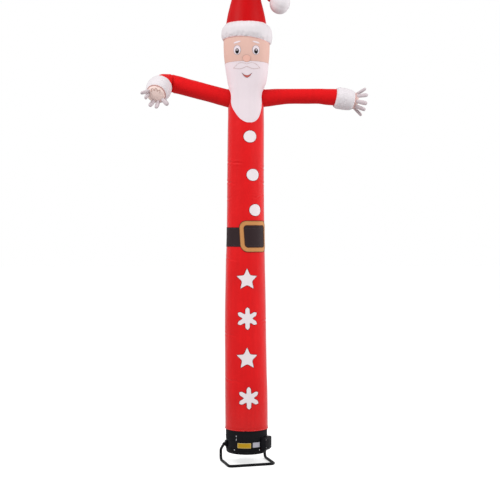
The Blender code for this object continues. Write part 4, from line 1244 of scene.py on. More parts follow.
class AIRDANCER_OT_materials(bpy.types.Operator):
    """Make the node groups and every material"""

    bl_idname = "airdancer.materials"
    bl_label = "Materials"

    def execute(self, context):
        cloth, blower = context.scene.air_cloth, context.scene.air_blower
        for make_group in (make_weave_group, make_crumple_group, make_tone_group, make_grain_group):
            make_group()
        # The red tube's colour gets painted shade, darker towards the bottom
        cloth_material("red_cloth", cloth.red, sheen=0.88, amount=0.26, crumple=0.005, grime=0.12,
                       fuzz=0.33)
        # Painted shade: the sleeves' colour is the red cloth darkened
        cloth_material("sleeve_cloth", cloth.sleeve, sheen=0.15, amount=0.20, crumple=0.002)
        cloth_material("hat_cloth", cloth.hat, sheen=0.03, amount=0.20, crumple=0.002)
        cloth_material("patch_cloth", cloth.patch, roughness=0.55, amount=0.05, dust=0.03)
        # Painted shade: the trim's colour is the white cloth darkened
        cloth_material("trim_cloth", cloth.trim, roughness=0.55, amount=0.08, dust=0.0)
        cloth_material("palm_cloth", cloth.palm, amount=0.06, dust=0.0)
        # Painted shade: the darker band round the palms' rims
        cloth_material("wrist_cloth", cloth.wrist, amount=0.10, dust=0.0)
        cloth_material("white_cloth", cloth.white, roughness=0.55, amount=0.05, dust=0.05)
        cloth_material("skin_cloth", cloth.skin, roughness=0.55, amount=0.06, dust=0.05)
        cloth_material("finger_cloth", cloth.finger, roughness=0.55, amount=0.20, dust=0.05)
        cloth_material("dark_cloth", cloth.dark, roughness=0.50, sheen=0.01, amount=0.15)
        cloth_material("gold_cloth", cloth.gold, roughness=0.45, amount=0.18, dust=0.05)
        cloth_material("nose_cloth", (0.80, 0.46, 0.38), amount=0.06, dust=0.05)
        cloth_material("lip_cloth", (0.55, 0.12, 0.10), amount=0.08, dust=0.05)
        cloth_material("collar_cloth", (0.007, 0.007, 0.009), roughness=0.60, sheen=0.01,
                       dust=0.012, yarn=1.4)
        cloth_material("pupil_cloth", (0.012, 0.012, 0.014), roughness=0.35, sheen=0.05, dust=0.0)
        for name, colour in THREADS.items():
            thread_material(name, colour)
        hard_material("black_shell", blower.plastic, 0.36, 700.0, 0.35, 0.35,
                      wear=(0.05, 0.05, 0.05))
        hard_material("black_steel", blower.paint, 0.33, 420.0, 0.25, 0.45,
                      wear=(0.07, 0.065, 0.06))
        hard_material("bright_steel", (0.62, 0.62, 0.64), 0.28, 500.0, 0.2, 0.2, metallic=1.0,
                      wear=(0.30, 0.28, 0.26))
        hard_material("yellow_plate", blower.yellow, 0.38, 300.0, 0.1, 0.25,
                      wear=(0.30, 0.20, 0.02))
        hard_material("pale_plate", blower.pale, 0.38, 300.0, 0.1, 0.25, wear=(0.35, 0.34, 0.38))
        hard_material("plate_rim", (0.60, 0.50, 0.22), 0.35, 300.0, 0.1, 0.1)
        return {"FINISHED"}


# ------------------------------------------------------------------ the cloth figure
class AIRDANCER_OT_body(bpy.types.Operator):
    """Build the red tube with its hem and side seams"""

    bl_idname = "airdancer.body"
    bl_label = "Body tube"

    def execute(self, context):
        stations = [*spread(HEM, 0.450, 0.008), *spread(0.470, 3.780, 0.026),
                    *spread(3.790, NECK - 0.0004, 0.010)]
        for low, high in CREASED:
            stations = [at for at in stations if not low - 0.004 < at < high + 0.004]
            stations += spread(low, high, 0.0075)
        body = cloth_tube("body_tube", sorted(stations), skin, "red_cloth", 0.21)
        roll = edging("body_hem", [(skin, ring(HEM + 0.0015, 90), 0.0016, True)])

        def beside_seam(lift, *offsets):
            return [(skin, upright(radians(side * SIDE_SEAM + off), HEM + 0.010, SEAM_TOP), lift,
                     False) for side in (-1, 1) for off in offsets]

        welts = edging("body_seams", beside_seam(0.0008, 0.0))
        rows = [(skin, ring(height, 90), 0.0006, True) for height in (HEM + 0.012, HEM + 0.028)]
        stitching("body_stitches", rows + beside_seam(0.0012, -1.9, 1.9), "red_thread")
        return {"FINISHED"}


class AIRDANCER_OT_head(bpy.types.Operator):
    """Build the face, hair and beard panels"""

    bl_idname = "airdancer.head"
    bl_label = "Head"

    def execute(self, context):
        seam, slack, over = radians(SIDE_SEAM), 0.0006, PATCH_LIFT + WALL
        low, high = NECK + 0.01, BRIM_SEAM - 0.03

        def panel(name, material, first, last, bottom):
            corners = [(first, bottom), (last, bottom), (last, BRIM_SEAM), (first, BRIM_SEAM)]
            return patch(name, corners, material, -WALL, WALL)

        face = panel("face_panel", "skin_cloth", -seam + slack, seam - slack, CHEEK)
        hair = panel("hair_panel", "white_cloth", seam + slack, TAU - seam - slack, NECK + 0.0004)
        outline = beard_outline()
        beard = patch("beard_panel", outline, "white_cloth", PATCH_LIFT, WALL, step=0.012,
                      surface=front)
        edge = edging("beard_edge", [(front, outline, over - 0.0004, True)])
        across = [(turn, CHEEK + 0.012) for turn, _ in (outline[0], outline[-1])]
        line = edging("beard_seam", [(skin, across, over - 0.0002, False)])
        stitching("beard_stitches", [(front, shrink(outline, 0.010), over + 0.0003, True)],
                  "white_thread")
        welts = edging("head_seams", [(skin, upright(side * seam, CHEEK, high), 0.0004, False)
                                      for side in (-1, 1)])
        edging("hair_seam", [(skin, upright(pi, low, high), 0.0004, False)])
        rows = [(skin, upright(pi + off, low, high), 0.0008, False) for off in (-0.035, 0.035)]
        rows.append((skin, [(seam + 0.05, NECK + 0.010), (TAU - seam - 0.05, NECK + 0.010)],
                     0.0008, False))
        stitching("hair_stitches", rows, "white_thread")
        return {"FINISHED"}


class AIRDANCER_OT_face(bpy.types.Operator):
    """Build a plain, friendly face: eyes, brows, nose, moustache and smile"""

    bl_idname = "airdancer.face"
    bl_label = "Face"

    def execute(self, context):
        over = PATCH_LIFT + PATCH_WALL
        eye_lines = []
        for side, name in ((-1, "left"), (1, "right")):
            turn, pupil_at = side * EYE_TURN, EYE_AT - PUPIL_DROP
            shape = on_skin(turn, EYE_AT, oval(EYE_WIDTH, EYE_HEIGHT))
            eye = patch("eye_" + name, shape, "white_cloth", PATCH_LIFT, step=0.010)
            eye_lines.append((skin, shape, over, True))
            shape = on_skin(turn, pupil_at, oval(PUPIL_WIDTH, PUPIL_HEIGHT, 40))
            pupil = patch("pupil_" + name, shape, "pupil_cloth", over + 0.0004, step=0.008)
            shape = on_skin(turn, pupil_at + GLINT_UP, oval(GLINT_WIDTH, GLINT_WIDTH, 24))
            glint = patch("glint_" + name, shape, "white_cloth",
                          PATCH_LIFT + 2 * PATCH_WALL + 0.0006, 0.0006, step=0.005)
            shape = on_skin(turn, BROW_AT, oval(BROW_WIDTH, BROW_HEIGHT, 40, -side * BROW_TILT))
            brow = patch("brow_" + name, shape, "white_cloth", PATCH_LIFT, step=0.008)
        edging("eye_edges", eye_lines)
        nose = self.feature("nose", "nose_cloth", NOSE_AT, oval(NOSE_WIDTH, NOSE_HEIGHT), 0.010)
        lobes = self.feature("moustache", "white_cloth", MOUSTACHE_AT,
                             moustache(MOUSTACHE_SPAN, MOUSTACHE_HEIGHT), 0.010, front)
        lips = self.feature("mouth", "lip_cloth", MOUTH_AT,
                            smile(MOUTH_WIDTH, MOUTH_DEPTH, MOUTH_LIP), 0.008, front)
        return {"FINISHED"}

    def feature(self, name, material, height, outline, step, surface=skin):
        """A patch in the middle of the face, with a cord round its edge."""
        lift = 2 * PATCH_LIFT + WALL
        shape = on_skin(0.0, height, outline)
        piece = patch(name, shape, material, lift, step=step, surface=surface)
        edging(name + "_edge", [(surface, shape, lift + PATCH_WALL, True)])
        return piece


class AIRDANCER_OT_dress(bpy.types.Operator):
    """Build the buttons, the belt with its buckle and the emblems"""

    bl_idname = "airdancer.dress"
    bl_label = "Buttons, belt and emblems"

    def execute(self, context):
        over = PATCH_LIFT + PATCH_WALL
        patches = [(f"button_{number}", height, turn, oval(BUTTON_WIDTH, BUTTON_HEIGHT), 0.007,
                    (BUTTON_WIDTH, BUTTON_HEIGHT), pi / 4 * BUTTON_WIDTH * BUTTON_HEIGHT)
                   for number, (height, turn) in enumerate(BUTTONS, 1)]
        for number, (height, turn, kind) in enumerate(EMBLEMS, 1):
            outline = {"star": star, "flake": flake}[kind](EMBLEM_WIDTH)
            area = abs(signed_area([Vector(point) for point in outline]))
            patches.append((f"emblem_{number}", height, turn, outline, 0.006,
                            (EMBLEM_WIDTH, EMBLEM_WIDTH), area))
        edges = []
        rows = []
        for name, height, turn, outline, inset, flat, area in patches:
            shape = on_skin(turn, height, outline)
            piece = patch(name, shape, "patch_cloth", PATCH_LIFT)
            edges.append((skin, shape, PATCH_LIFT + 0.0004, True))
            rows.append((skin, shrink(shape, inset), over + 0.0002, True))
        edging("patch_edges", edges)
        stitching("patch_stitches", rows, "white_thread")
        self.make_belt(over)
        self.make_buckle(over)
        return {"FINISHED"}

    def make_belt(self, over):
        def over_skin(turn, height, lift):
            return skin(turn, height, lift + PATCH_LIFT + PATCH_WALL)

        belt = cloth_tube("belt", spread(BELT_LOW, BELT_HIGH, 0.012), over_skin, "dark_cloth",
                          0.205, wall=PATCH_WALL)
        edges = edging("belt_edges", [(skin, ring(height, 90), over, True)
                                      for height in (BELT_LOW, BELT_HIGH)])
        rows = stitching("belt_stitches", [(skin, ring(height, 90), over + 0.0003, True)
                                           for height in (BELT_LOW + 0.010, BELT_HIGH - 0.010)],
                         "grey_thread")

    def make_buckle(self, over):
        def square(inset):
            outline = round_frame(BUCKLE_WIDTH - inset, BUCKLE_HEIGHT - inset,
                                  BUCKLE_CORNER - inset / 2)
            return on_skin(BUCKLE_TURN, BUCKLE_AT, [
                (right - BUCKLE_LEAN * up if right < 0 else right, up) for right, up in outline])

        inset, lift = 2 * BUCKLE_BAND, 2 * PATCH_LIFT + PATCH_WALL
        outer, inner = square(0.0), square(inset)
        backing = patch("buckle_backing", square(0.02), "dark_cloth", over + 0.0001, 0.0006)
        buckle = patch("buckle", outer, "gold_cloth", lift, hole=inner)
        edges = edging("buckle_edges", [(skin, line, lift + 0.0004, True)
                                        for line in (outer, inner)])
        rows = stitching("buckle_stitches", [
            (skin, shrink(line, off), lift + PATCH_WALL + 0.0002, True)
            for line, off in ((outer, 0.008), (inner, -0.008))], "brown_thread", "gold_cloth")


# ------------------------------------------------------------------ the hat
def brim_surface(turn, height, lift=0.0):
    """The puffed hat band, drooping towards +X."""
    low, high = BRIM_ROWS[0][0], BRIM_ROWS[-1][0]
    radius = between(BRIM_ROWS, 1, height) + lift
    for seam, depth in ((low, 0.0012), (high, 0.0030)):
        radius += depth * exp(-abs(height - seam) / 0.030) * ripple(turn, 31, seam)
    radius += 0.0016 * uneven(turn, 3, 9 * height)
    x = between(BRIM_ROWS, 2, height) + radius * sin(turn)
    share = 1 - (height - low) / (high - low)
    rise = BRIM_RISE * share * max(cos(turn), 0.0) ** 2
    return Vector((x, -radius * cos(turn), height - BRIM_DROOP * x * share + rise))


def folded(folds, gathers, seed):
    """A limb's crease: folds at its bends and gathers at its sewn ends."""
    def crease(turn, along):
        out = 0.0015 * uneven(turn, 2, 6 * along, seed)
        for at, middle, half, depth, width in folds:
            off = apart(turn, radians(middle)) / radians(half)
            if abs(off) < 1.0:
                dip = (along - at - 0.006 * noise.noise(Vector((4 * turn, at * 30, seed)))) / width
                if abs(dip) < 4.0:
                    out -= (depth * (1 - off * off)
                            * (exp(-dip * dip) - 0.55 * exp(-(abs(dip) - 1.8) ** 2)))
        return gather(out, turn, along, gathers, seed)
    return crease


def limb(rows, crease):
    """A surface round a smooth line through rows of (x, y, z, radius)."""
    points, table = smooth_points(rows)
    course = Course(points, first_up=Vector((0, -1, 0)))
    scale = table[-1][0] / course.length

    def surface(turn, along, lift=0.0):
        radius = between(table, 4, along * scale) + crease(turn, along) + lift
        return course.beside(along, turn, radius)

    return course, surface


class AIRDANCER_OT_hat(bpy.types.Operator):
    """Build the hat band, the folded hat and its pompom"""

    bl_idname = "airdancer.hat"
    bl_label = "Hat"

    def execute(self, context):
        low, high = BRIM_ROWS[0][0], BRIM_ROWS[-1][0]
        stations = [*spread(low, low + 0.016, 0.004), *spread(low + 0.024, high - 0.010, 0.011),
                    high]
        brim = cloth_tube("hat_brim", stations, brim_surface, "trim_cloth", 0.26, wall=0.0)
        held = []
        for vert in brim.data.vertices:
            spot = vert.co - AXIS
            if any((brim_surface(own_turn(spot), at) - spot).length < 0.006 for at in (low, high)):
                held.append(vert.index)
        blow_up(brim, held, 3.0, 0.05, 0.008)
        edges = edging("brim_edges", [(brim_surface, ring(at, 90), 0.0010, True)
                                      for at in (low, high)])

        course, surface = limb(HAT_ROWS, folded(HAT_FOLDS, HAT_GATHERS, 5.0))
        stations = [*spread(0.0, 0.30, 0.014), *spread(0.307, course.length - 0.002, 0.0075)]
        hat = cloth_tube("hat_cone", stations, surface, "hat_cloth", 0.12, sides=96)
        path = [(radians(-120), along) for along in spread(0.045, course.length - 0.02, 0.03)]
        seam = edging("hat_seam", [(surface, path, 0.0004, False)])
        self.make_pompom()
        return {"FINISHED"}

    def make_pompom(self):
        place = limb_frame(POMPOM_CENTRE, Vector(POMPOM_CENTRE) - Vector(POMPOM_FROM))
        mouth = radians(POMPOM_MOUTH)

        def ball(turn, angle, lift=0.0):
            gore = 0.0035 * (abs(sin(3 * turn)) ** 0.5 - 0.8) * sin(angle)
            pull = 0.0035 * exp(-(angle - mouth) / 0.25) * ripple(turn, 14, 3.0)
            radius = POMPOM_RADIUS + gore + pull + lift
            return place @ about(turn, radius * sin(angle), -radius * cos(angle))

        pompom = cloth_tube("pompom", spread(mouth, pi, 0.10), ball, "trim_cloth", 0.11, sides=72,
                            wall=0.0, capped=True)
        back, rim = place.inverted(), -POMPOM_RADIUS * cos(mouth + 0.05)
        held = [vert.index for vert in pompom.data.vertices if (back @ (vert.co - AXIS)).z < rim]
        blow_up(pompom, held, 2.0, 0.03, 0.005)
        tie = edging("pompom_tie", [(ball, ring(mouth + 0.01, 40), 0.0010, True)])


# ------------------------------------------------------------------ the arms
def leave_skin(surface, turn, length):
    """How far along a sleeve its cloth comes out of the body's skin."""
    low, high = 0.0, length * 0.4
    for _ in range(24):
        middle = (low + high) / 2
        spot = surface(turn, middle)
        aside = spot.x - between(SKIN_ROWS, 2, spot.z)
        skin_radius = between(SKIN_ROWS, 1, spot.z) + body_crease(atan2(aside, -spot.y), spot.z)
        if Vector((aside, spot.y)).length < skin_radius + 0.0004:
            low = middle
        else:
            high = middle
    return high


def make_arm(name, rows, folds, steps, seed):
    course, surface = limb(rows, folded(folds, ARM_GATHERS, seed))
    length = course.length
    stations = spread(0.0, 0.08, 0.008)
    for *ends, step in steps:
        stations += spread(*(end if end > 0 else length + end for end in ends), step)
    leaves = {}

    def trimmed(turn, along, lift=0.0):
        key = round(turn % TAU, 3)
        if key not in leaves:
            leaves[key] = leave_skin(surface, turn, length)
        return surface(turn, leaves[key] + along * (length - leaves[key]) / length, lift)

    arm = cloth_tube("arm_" + name, stations, trimmed, "sleeve_cloth", 0.087, sides=72)
    welt = edging("shoulder", [(trimmed, ring(0.003), 0.0006, True)], "_" + name)
    under = spread(0.010, length - 0.04, 0.03)
    line = [(pi * 0.98, along) for along in under]
    seam = edging("sleeve_seam", [(trimmed, line, 0.0004, False)], "_" + name)
    stitches = stitching("sleeve_stitches_" + name, [
        (trimmed, ring(0.012), 0.0007, True),
        (trimmed, [(pi * 0.98 + 0.075, along) for along in under], 0.0007, False)], "red_thread")


def make_cuff(name, place, seed):
    end = CUFF_ROWS[-1][0]

    def cuff_surface(turn, along, lift=0.0):
        full = 1 + (CUFF_FULLNESS[name] - 1) * sin(pi * along / end)
        drawn_in = max(along / end - 0.5, 0.0) * 2
        full *= 1 - (1 - HAND_WIDTH[name]) * drawn_in * drawn_in
        radius = between(CUFF_ROWS, 1, along) * full + lift
        for at in (0.0, end):
            radius += 0.0028 * exp(-abs(along - at) / 0.024) * ripple(turn, 19, at + seed)
        radius += 0.0014 * uneven(turn, 2.5, 12 * along + seed)
        return place @ about(turn, radius, along)

    cuff = cloth_tube("cuff_" + name, spread(0.0, end, 0.0103), cuff_surface, "trim_cloth", 0.11,
                      sides=84, wall=0.0)
    back = (Matrix.Translation(AXIS) @ place).inverted()
    held = [vert.index for vert in cuff.data.vertices
            if not 0.004 < (back @ vert.co).z < end - 0.004]
    blow_up(cuff, held, 3.0, 0.04, 0.006)
    lines = [(cuff_surface, ring(at), 0.0008, True) for at in (0.001, end - 0.001)]
    edge = edging("cuff_edges", lines, "_" + name)


def make_hand(name, place, seed):
    """The cap that closes the cuff. It returns its surface and its length from rim to middle."""
    end = CUFF_ROWS[-1][0]
    rows = [(out * HAND_DEPTH[name], radius * HAND_WIDTH[name]) for out, radius in HAND_ROWS]
    table = [(0.0, *rows[0])]
    for before, after in zip(rows, rows[1:]):
        span = sqrt((after[0] - before[0]) ** 2 + (after[1] - before[1]) ** 2)
        table.append((table[-1][0] + span, *after))
    length = table[-1][0]

    def hand_surface(turn, along, lift=0.0):
        """The cap, with its cloth drawn in between the fingers."""
        out, radius = between(table, 1, along), max(between(table, 2, along), 0.0)
        share = along / length
        pull = 0.0018 * ripple(turn, 11, seed) * sin(pi * min(share * 1.4, 1.0))
        radius += (pull + lift) * (1 - share) if radius > 0 else 0.0
        return place @ about(turn, radius, end + out + pull + lift * share)

    stations = [*spread(0.0, length * 0.96, 0.0052), length]
    hand = cloth_tube("hand_" + name, stations, hand_surface, "palm_cloth", 0.06, sides=64,
                      capped=True)
    # A band of painted shade round the palm's rim, next to the cuff, in a darker copy of the palm's
    # cloth
    hand.data.materials.append(bpy.data.materials["wrist_cloth" + MADE])
    back = (Matrix.Translation(AXIS) @ place).inverted()
    for face in hand.data.polygons:
        face.material_index = int((back @ face.center).z < end + WRIST_BAND * HAND_DEPTH[name])
    edging("hand_seam", [(hand_surface, ring(0.0135), 0.0010, True)], "_" + name)
    return hand_surface, length


def make_fingers(name, place, fingers, seed):
    edges = []
    rise = CUFF_ROWS[-1][0] + FINGER_ROOT * HAND_DEPTH[name] ** 3
    for number, (round_hand, way) in enumerate(fingers, 1):
        way = Vector(way).normalized()
        angle = radians(round_hand)
        spot = Vector((-FINGER_CIRCLE * sin(angle), FINGER_CIRCLE * cos(angle), 0.0))
        root = place @ (spot + Vector((0, 0, rise)))
        outward = place.to_3x3() @ spot.normalized()
        side = outward.cross(way).normalized()
        bend = way.cross(side).normalized() * (0.010 if number % 2 else -0.007)
        rows = [(*(root + way * (FINGER_LENGTH * share) + bend * share * share),
                 FINGER_WIDTH / 2 * size) for share, size in FINGER_OUTLINE]
        points, table = smooth_points(rows, 0.004)
        course = Course(points, first_up=outward)
        scale = table[-1][0] / course.length

        def finger_surface(turn, along, lift=0.0):
            radius = max(between(table, 4, along * scale), 0.0)
            crease = 0.0012 * uneven(turn, 2, 40 * along + seed, number)
            radius += (crease + lift) if radius > 0.004 else 0.0
            return course.beside(along, turn, radius, FINGER_DEPTH / FINGER_WIDTH)

        stations = [*spread(0.0, course.length * 0.97, 0.0058), course.length]
        finger = cloth_tube(f"finger_{name}_{number}", stations, finger_surface, "finger_cloth",
                            0.019, sides=28, wall=0.0010, capped=True)
        places = spread(0.004, course.length * 0.93, 0.01)
        edges += [(finger_surface, [(turn, along) for along in places], 0.0002, False)
                  for turn in (pi / 2, -pi / 2)]
    # Drawn after the loop, every one of these lies on the last finger's surface
    edging("finger_seams", edges, "_" + name, pitch=0.0, step=0.008)


def scallop(share, count=4):
    """The wavy line that is sewn across the palm."""
    return pi + 1.15 * (2 * share - 1), 0.58 - 0.22 * abs(sin(pi * count * share))


class AIRDANCER_OT_arms(bpy.types.Operator):
    """Build the sleeves, cuffs, hands and fingers"""

    bl_idname = "airdancer.arms"
    bl_label = "Arms"

    def execute(self, context):
        for name, rows, folds, steps, start, way, fingers, seed in (
                ("left", LEFT_ARM_ROWS, LEFT_ARM_FOLDS, LEFT_ARM_STEPS, LEFT_CUFF_START,
                 LEFT_CUFF_WAY, LEFT_FINGERS, 1.0),
                ("right", RIGHT_ARM_ROWS, RIGHT_ARM_FOLDS, RIGHT_ARM_STEPS, RIGHT_CUFF_START,
                 RIGHT_CUFF_WAY, RIGHT_FINGERS, 2.0)):
            make_arm(name, rows, folds, steps, seed)
            place = limb_frame(start, way)
            make_cuff(name, place, seed)
            surface, length = make_hand(name, place, seed)
            make_fingers(name, place, fingers, seed)
            line = [(turn, length * share)
                    for turn, share in map(scallop, spread(0.0, 1.0, 1 / 96))]
            edging("palm_line", [(surface, line, 0.0006, False)], "_" + name, pitch=0.0, step=0.004)
        return {"FINISHED"}


# ------------------------------------------------------------------ the blower
def drum_surface(turn, height, lift=0.0):
    return about(turn, DRUM_RADIUS + lift, height)


def collar_surface(turn, height, lift=0.0):
    """The black collar, drawn tight on the drum and gathered under the hem."""
    radius = between(COLLAR_ROWS, 1, height) + lift
    tight = min(abs(height - 0.300) / 0.05, 1.0)
    radius += 0.0009 * tight * ripple(turn, 38, 4.0) + 0.0004 * ripple(turn, 83, 6.0)
    return about(turn, radius, height, between(COLLAR_ROWS, 2, height))


def turned_piece(name, profile, closed=True):
    bm = spin_up(profile, AROUND, closed)
    weld(bm)
    return stand_up(bm, name, "black_shell", smooth_below=32.0)


def block(outline, width):
    """A flat (x, z) outline given a width along Y."""
    bm = bmesh.new()
    face = bm.faces.new([bm.verts.new((x, -width / 2, z)) for x, z in outline])
    grown = bmesh.ops.extrude_face_region(bm, geom=[face])["geom"]
    verts = [item for item in grown if isinstance(item, bmesh.types.BMVert)]
    bmesh.ops.translate(bm, vec=(0, width, 0), verts=verts)
    return bm


def rounded(bm, place, size, segments=3):
    """Round the edges of a solid and put it in its place."""
    bmesh.ops.bevel(bm, geom=bm.edges[:], offset=size, offset_type="OFFSET", segments=segments,
                    profile=0.5, affect="EDGES", clamp_overlap=True, material=-1)
    bmesh.ops.transform(bm, matrix=place, verts=bm.verts)
    return bm


def screws(name, places, radius, height):
    """Domed heads with a flat socket, each standing on +Z of its place, in one piece."""
    bm = bmesh.new()
    for place in places:
        part = spin_up([(radius * wide, height * up) for wide, up in SCREW_OUTLINE], 24)
        weld(part)
        bmesh.ops.transform(part, matrix=place, verts=part.verts)
        join(bm, part)
    return stand_up(bm, name, "bright_steel")


def facing(turn, radius, height):
    """The place on the drum at a turn, with +Z pointing out of it."""
    return limb_frame(about(turn, radius, height), about(turn, 1.0, 0.0))


class AIRDANCER_OT_blower(bpy.types.Operator):
    """Build the drum, its guard, the control box, the plates and the collar"""

    bl_idname = "airdancer.blower"
    bl_label = "Blower"

    def execute(self, context):
        turned_piece("drum", DRUM_OUTLINE)
        root, rim = DRUM_RADIUS + 0.0003, DRUM_RADIUS + FLANGE_OUT
        turned_piece("drum_flange", [
            (root, FLANGE_LOW), (rim - 0.0015, FLANGE_LOW), (rim, FLANGE_LOW + 0.0015),
            (rim, FLANGE_HIGH - 0.0015), (rim - 0.0015, FLANGE_HIGH), (root, FLANGE_HIGH)])
        self.make_guard()
        for number, turn in enumerate(BOLT_TURNS, 1):
            place = facing(radians(turn), rim + 0.0003, (FLANGE_LOW + FLANGE_HIGH) / 2)
            screws(f"drum_bolt_{number}", [place], 0.0062, 0.0040)
        self.make_box()
        for name, turn, height, width, tall, paint in PLATES:
            turn = radians(turn)
            shape = [(turn + right / DRUM_RADIUS, height + up)
                     for right, up in round_frame(width, tall, 0.005, 6)]
            patch(name, shape, paint, 0.0018, 0.0010, step=0.012, surface=drum_surface,
                  width=DRUM_RADIUS)
            edging(name + "_rim", [(drum_surface, shrink(shape, 0.003, DRUM_RADIUS), 0.0027, True)],
                   pitch=0.006, width=DRUM_RADIUS, sides=8, step=0.006)
            screws(name + "_rivets", [facing(turn + side * (width / 2 - 0.010) / DRUM_RADIUS,
                                             DRUM_RADIUS + 0.0028, height) for side in (-1, 1)],
                   0.0024, 0.0014)
        heights = spread(COLLAR_ROWS[0][0], COLLAR_ROWS[-1][0], 0.009)
        collar = cloth_tube("base_collar", heights, collar_surface, "collar_cloth", 0.223)
        bands = edging("collar_bands", [(collar_surface, ring(at, 90), 0.0004, True)
                                        for at in COLLAR_BANDS])
        for number, height in enumerate(SNAP_AT, 1):
            place = facing(radians(SNAP_TURN), between(COLLAR_ROWS, 1, height) + 0.0006, height)
            place = place @ Matrix.Diagonal((0.75, 1.25, 1.0, 1.0))
            screws(f"snap_{number}", [place], 0.0074, 0.0032)
        return {"FINISHED"}

    def make_guard(self):
        """The intake guard with its rings and spokes."""
        edge = INTAKE_RADIUS - 0.0006
        profile = [(0.0, GUARD_LOW)]
        for number in range(14):
            at = 0.020 + number * 0.0128
            profile += [(at, GUARD_LOW), (at + 0.0010, GUARD_GROOVE), (at + 0.0035, GUARD_GROOVE),
                        (at + 0.0045, GUARD_LOW)]
        profile += [(edge, GUARD_LOW), (edge, GUARD_HIGH), (0.0, GUARD_HIGH)]
        turned_piece("intake_guard", [(r, z + 0.0020) for r, z in profile], closed=False)
        spokes = bmesh.new()
        for number in range(12):
            turn = Matrix.Rotation(TAU * number / 12, 4, "Z")
            join(spokes, rounded(block(SPOKE_OUTLINE, 0.006), turn, 0.0008, 2))
        stand_up(spokes, "guard_spokes", "black_shell")

    def make_box(self):
        """The control box with its lid line, screws and rocker switch."""
        turn = Matrix.Rotation(radians(BOX_TURN - 90.0), 4, "Z")

        def part(name, outline, width, *bevel):
            stand_up(rounded(block(outline, width), turn, *bevel), name, "black_shell")

        outline = [(max(x, 0.2165), z) for x, z in BOX_OUTLINE]
        part("control_box", outline, BOX_WIDTH - 0.0005, 0.0045)
        part("box_lid", LID_OUTLINE, BOX_WIDTH - 0.018, 0.0012, 2)
        screws("box_screws", [
            turn @ Matrix.Translation((0.2727, across * (BOX_WIDTH / 2 - 0.016), height))
            @ Matrix.Rotation(pi / 2, 4, "Y") for across in (-1, 1) for height in (0.192, 0.276)],
            0.0036, 0.0016)
        part("box_switch", SWITCH_OUTLINE, 0.020, 0.0008, 2)


# ------------------------------------------------------------------ the stand
def rounded_path(corners, bend, steps=10):
    path = [corners[0]]
    for before, corner, after in zip(corners, corners[1:], corners[2:]):
        into, out = (corner - before).normalized(), (after - corner).normalized()
        half = into.angle(out) / 2
        hub = corner + (out - into).normalized() * bend / cos(half)
        start = corner - into * bend * tan(half)
        arm, axis = start - hub, into.cross(out).normalized()
        path += [hub + Matrix.Rotation(2 * half * step / steps, 3, axis) @ arm
                 for step in range(steps + 1)]
    return [*path, corners[-1]]


def tube_along(course, radius, sides=24):
    """A round tube that lies flat where it meets the floor, closed at both ends."""
    rows = [(1.0, at) for at in course.marks]
    bm = spin_up([(0.0, -0.5), *rows, (0.0, course.length + 0.5)], sides)
    for vert in bm.verts:
        size = radius if vert.co.xy.length > ON_AXIS else 0.0
        vert.co = course.beside(min(max(vert.co.z, 0.0), course.length), own_turn(vert.co), size)
        vert.co.z = max(vert.co.z, 0.0)
    weld(bm, 0.00002)
    return bm


class AIRDANCER_OT_stand(bpy.types.Operator):
    """Build the bent tube, its brackets and pivot bolts"""

    bl_idname = "airdancer.stand"
    bl_label = "Stand"

    def execute(self, context):
        place = (Matrix.Translation((*STAND_MIDDLE, 0.0))
                 @ Matrix.Rotation(radians(STAND_TURN), 4, "Z"))
        hub = place.inverted() @ Vector((0, 0, 0))
        half, depth, rest = TUBE_HALF_WIDTH, TUBE_HALF_DEPTH, TUBE_RADIUS * cos(pi / 12)
        foot, knee, pivot = (Vector(spot) for spot in (
            (half, depth, rest), (half, depth, KNEE_HEIGHT), (half, hub.y, PIVOT_HEIGHT)))
        right = [foot, knee, pivot + (pivot - knee).normalized() * PIVOT_PAST]
        left = [Vector((-point.x, point.y, point.z)) for point in reversed(right)]
        rail = [Vector((-half, -depth, rest)), Vector((half, -depth, rest))]
        corners = rounded_path(left + rail + right, TUBE_BEND)
        points = []
        for before, after in zip(corners, corners[1:]):
            count = max(int((after - before).length / 0.03), 1)
            points += [place @ before.lerp(after, number / count) for number in range(count)]
        points.append(place @ corners[-1])
        course = Course(points, first_up=place.to_3x3() @ Vector((1, 0, 0)))
        stand_up(tube_along(course, TUBE_RADIUS), "stand_tube", "black_steel")
        for name, turn in (("right", 0.0), ("left", pi)):
            seat = place @ Matrix.Translation((0.0, hub.y, 0.0)) @ Matrix.Rotation(turn, 4, "Z")
            bracket = block(BRACKET_OUTLINE, BRACKET_WIDTH)
            for vert in bracket.verts:
                if vert.co.x < 0.213:
                    vert.co.x = sqrt(DRUM_RADIUS ** 2 - vert.co.y ** 2) + 0.0016 - abs(hub.x) * 0.3
            stand_up(rounded(bracket, seat, 0.0035), "bracket_" + name, "black_steel")
            level = (Matrix.Translation((half + TUBE_RADIUS, 0, PIVOT_HEIGHT))
                     @ Matrix.Rotation(pi / 2, 4, "Y"))
            screws("pivot_bolt_" + name, [seat @ level], 0.0100, 0.0060)
        return {"FINISHED"}


# ------------------------------------------------------------------ the stage
def place_in_scene(name, data, spot=(0, 0, 0), turn=(0, 0, 0)):
    made = bpy.data.objects.new(name, data)
    made.location = spot
    made.rotation_euler = turn
    bpy.context.scene.collection.objects.link(made)
    return made


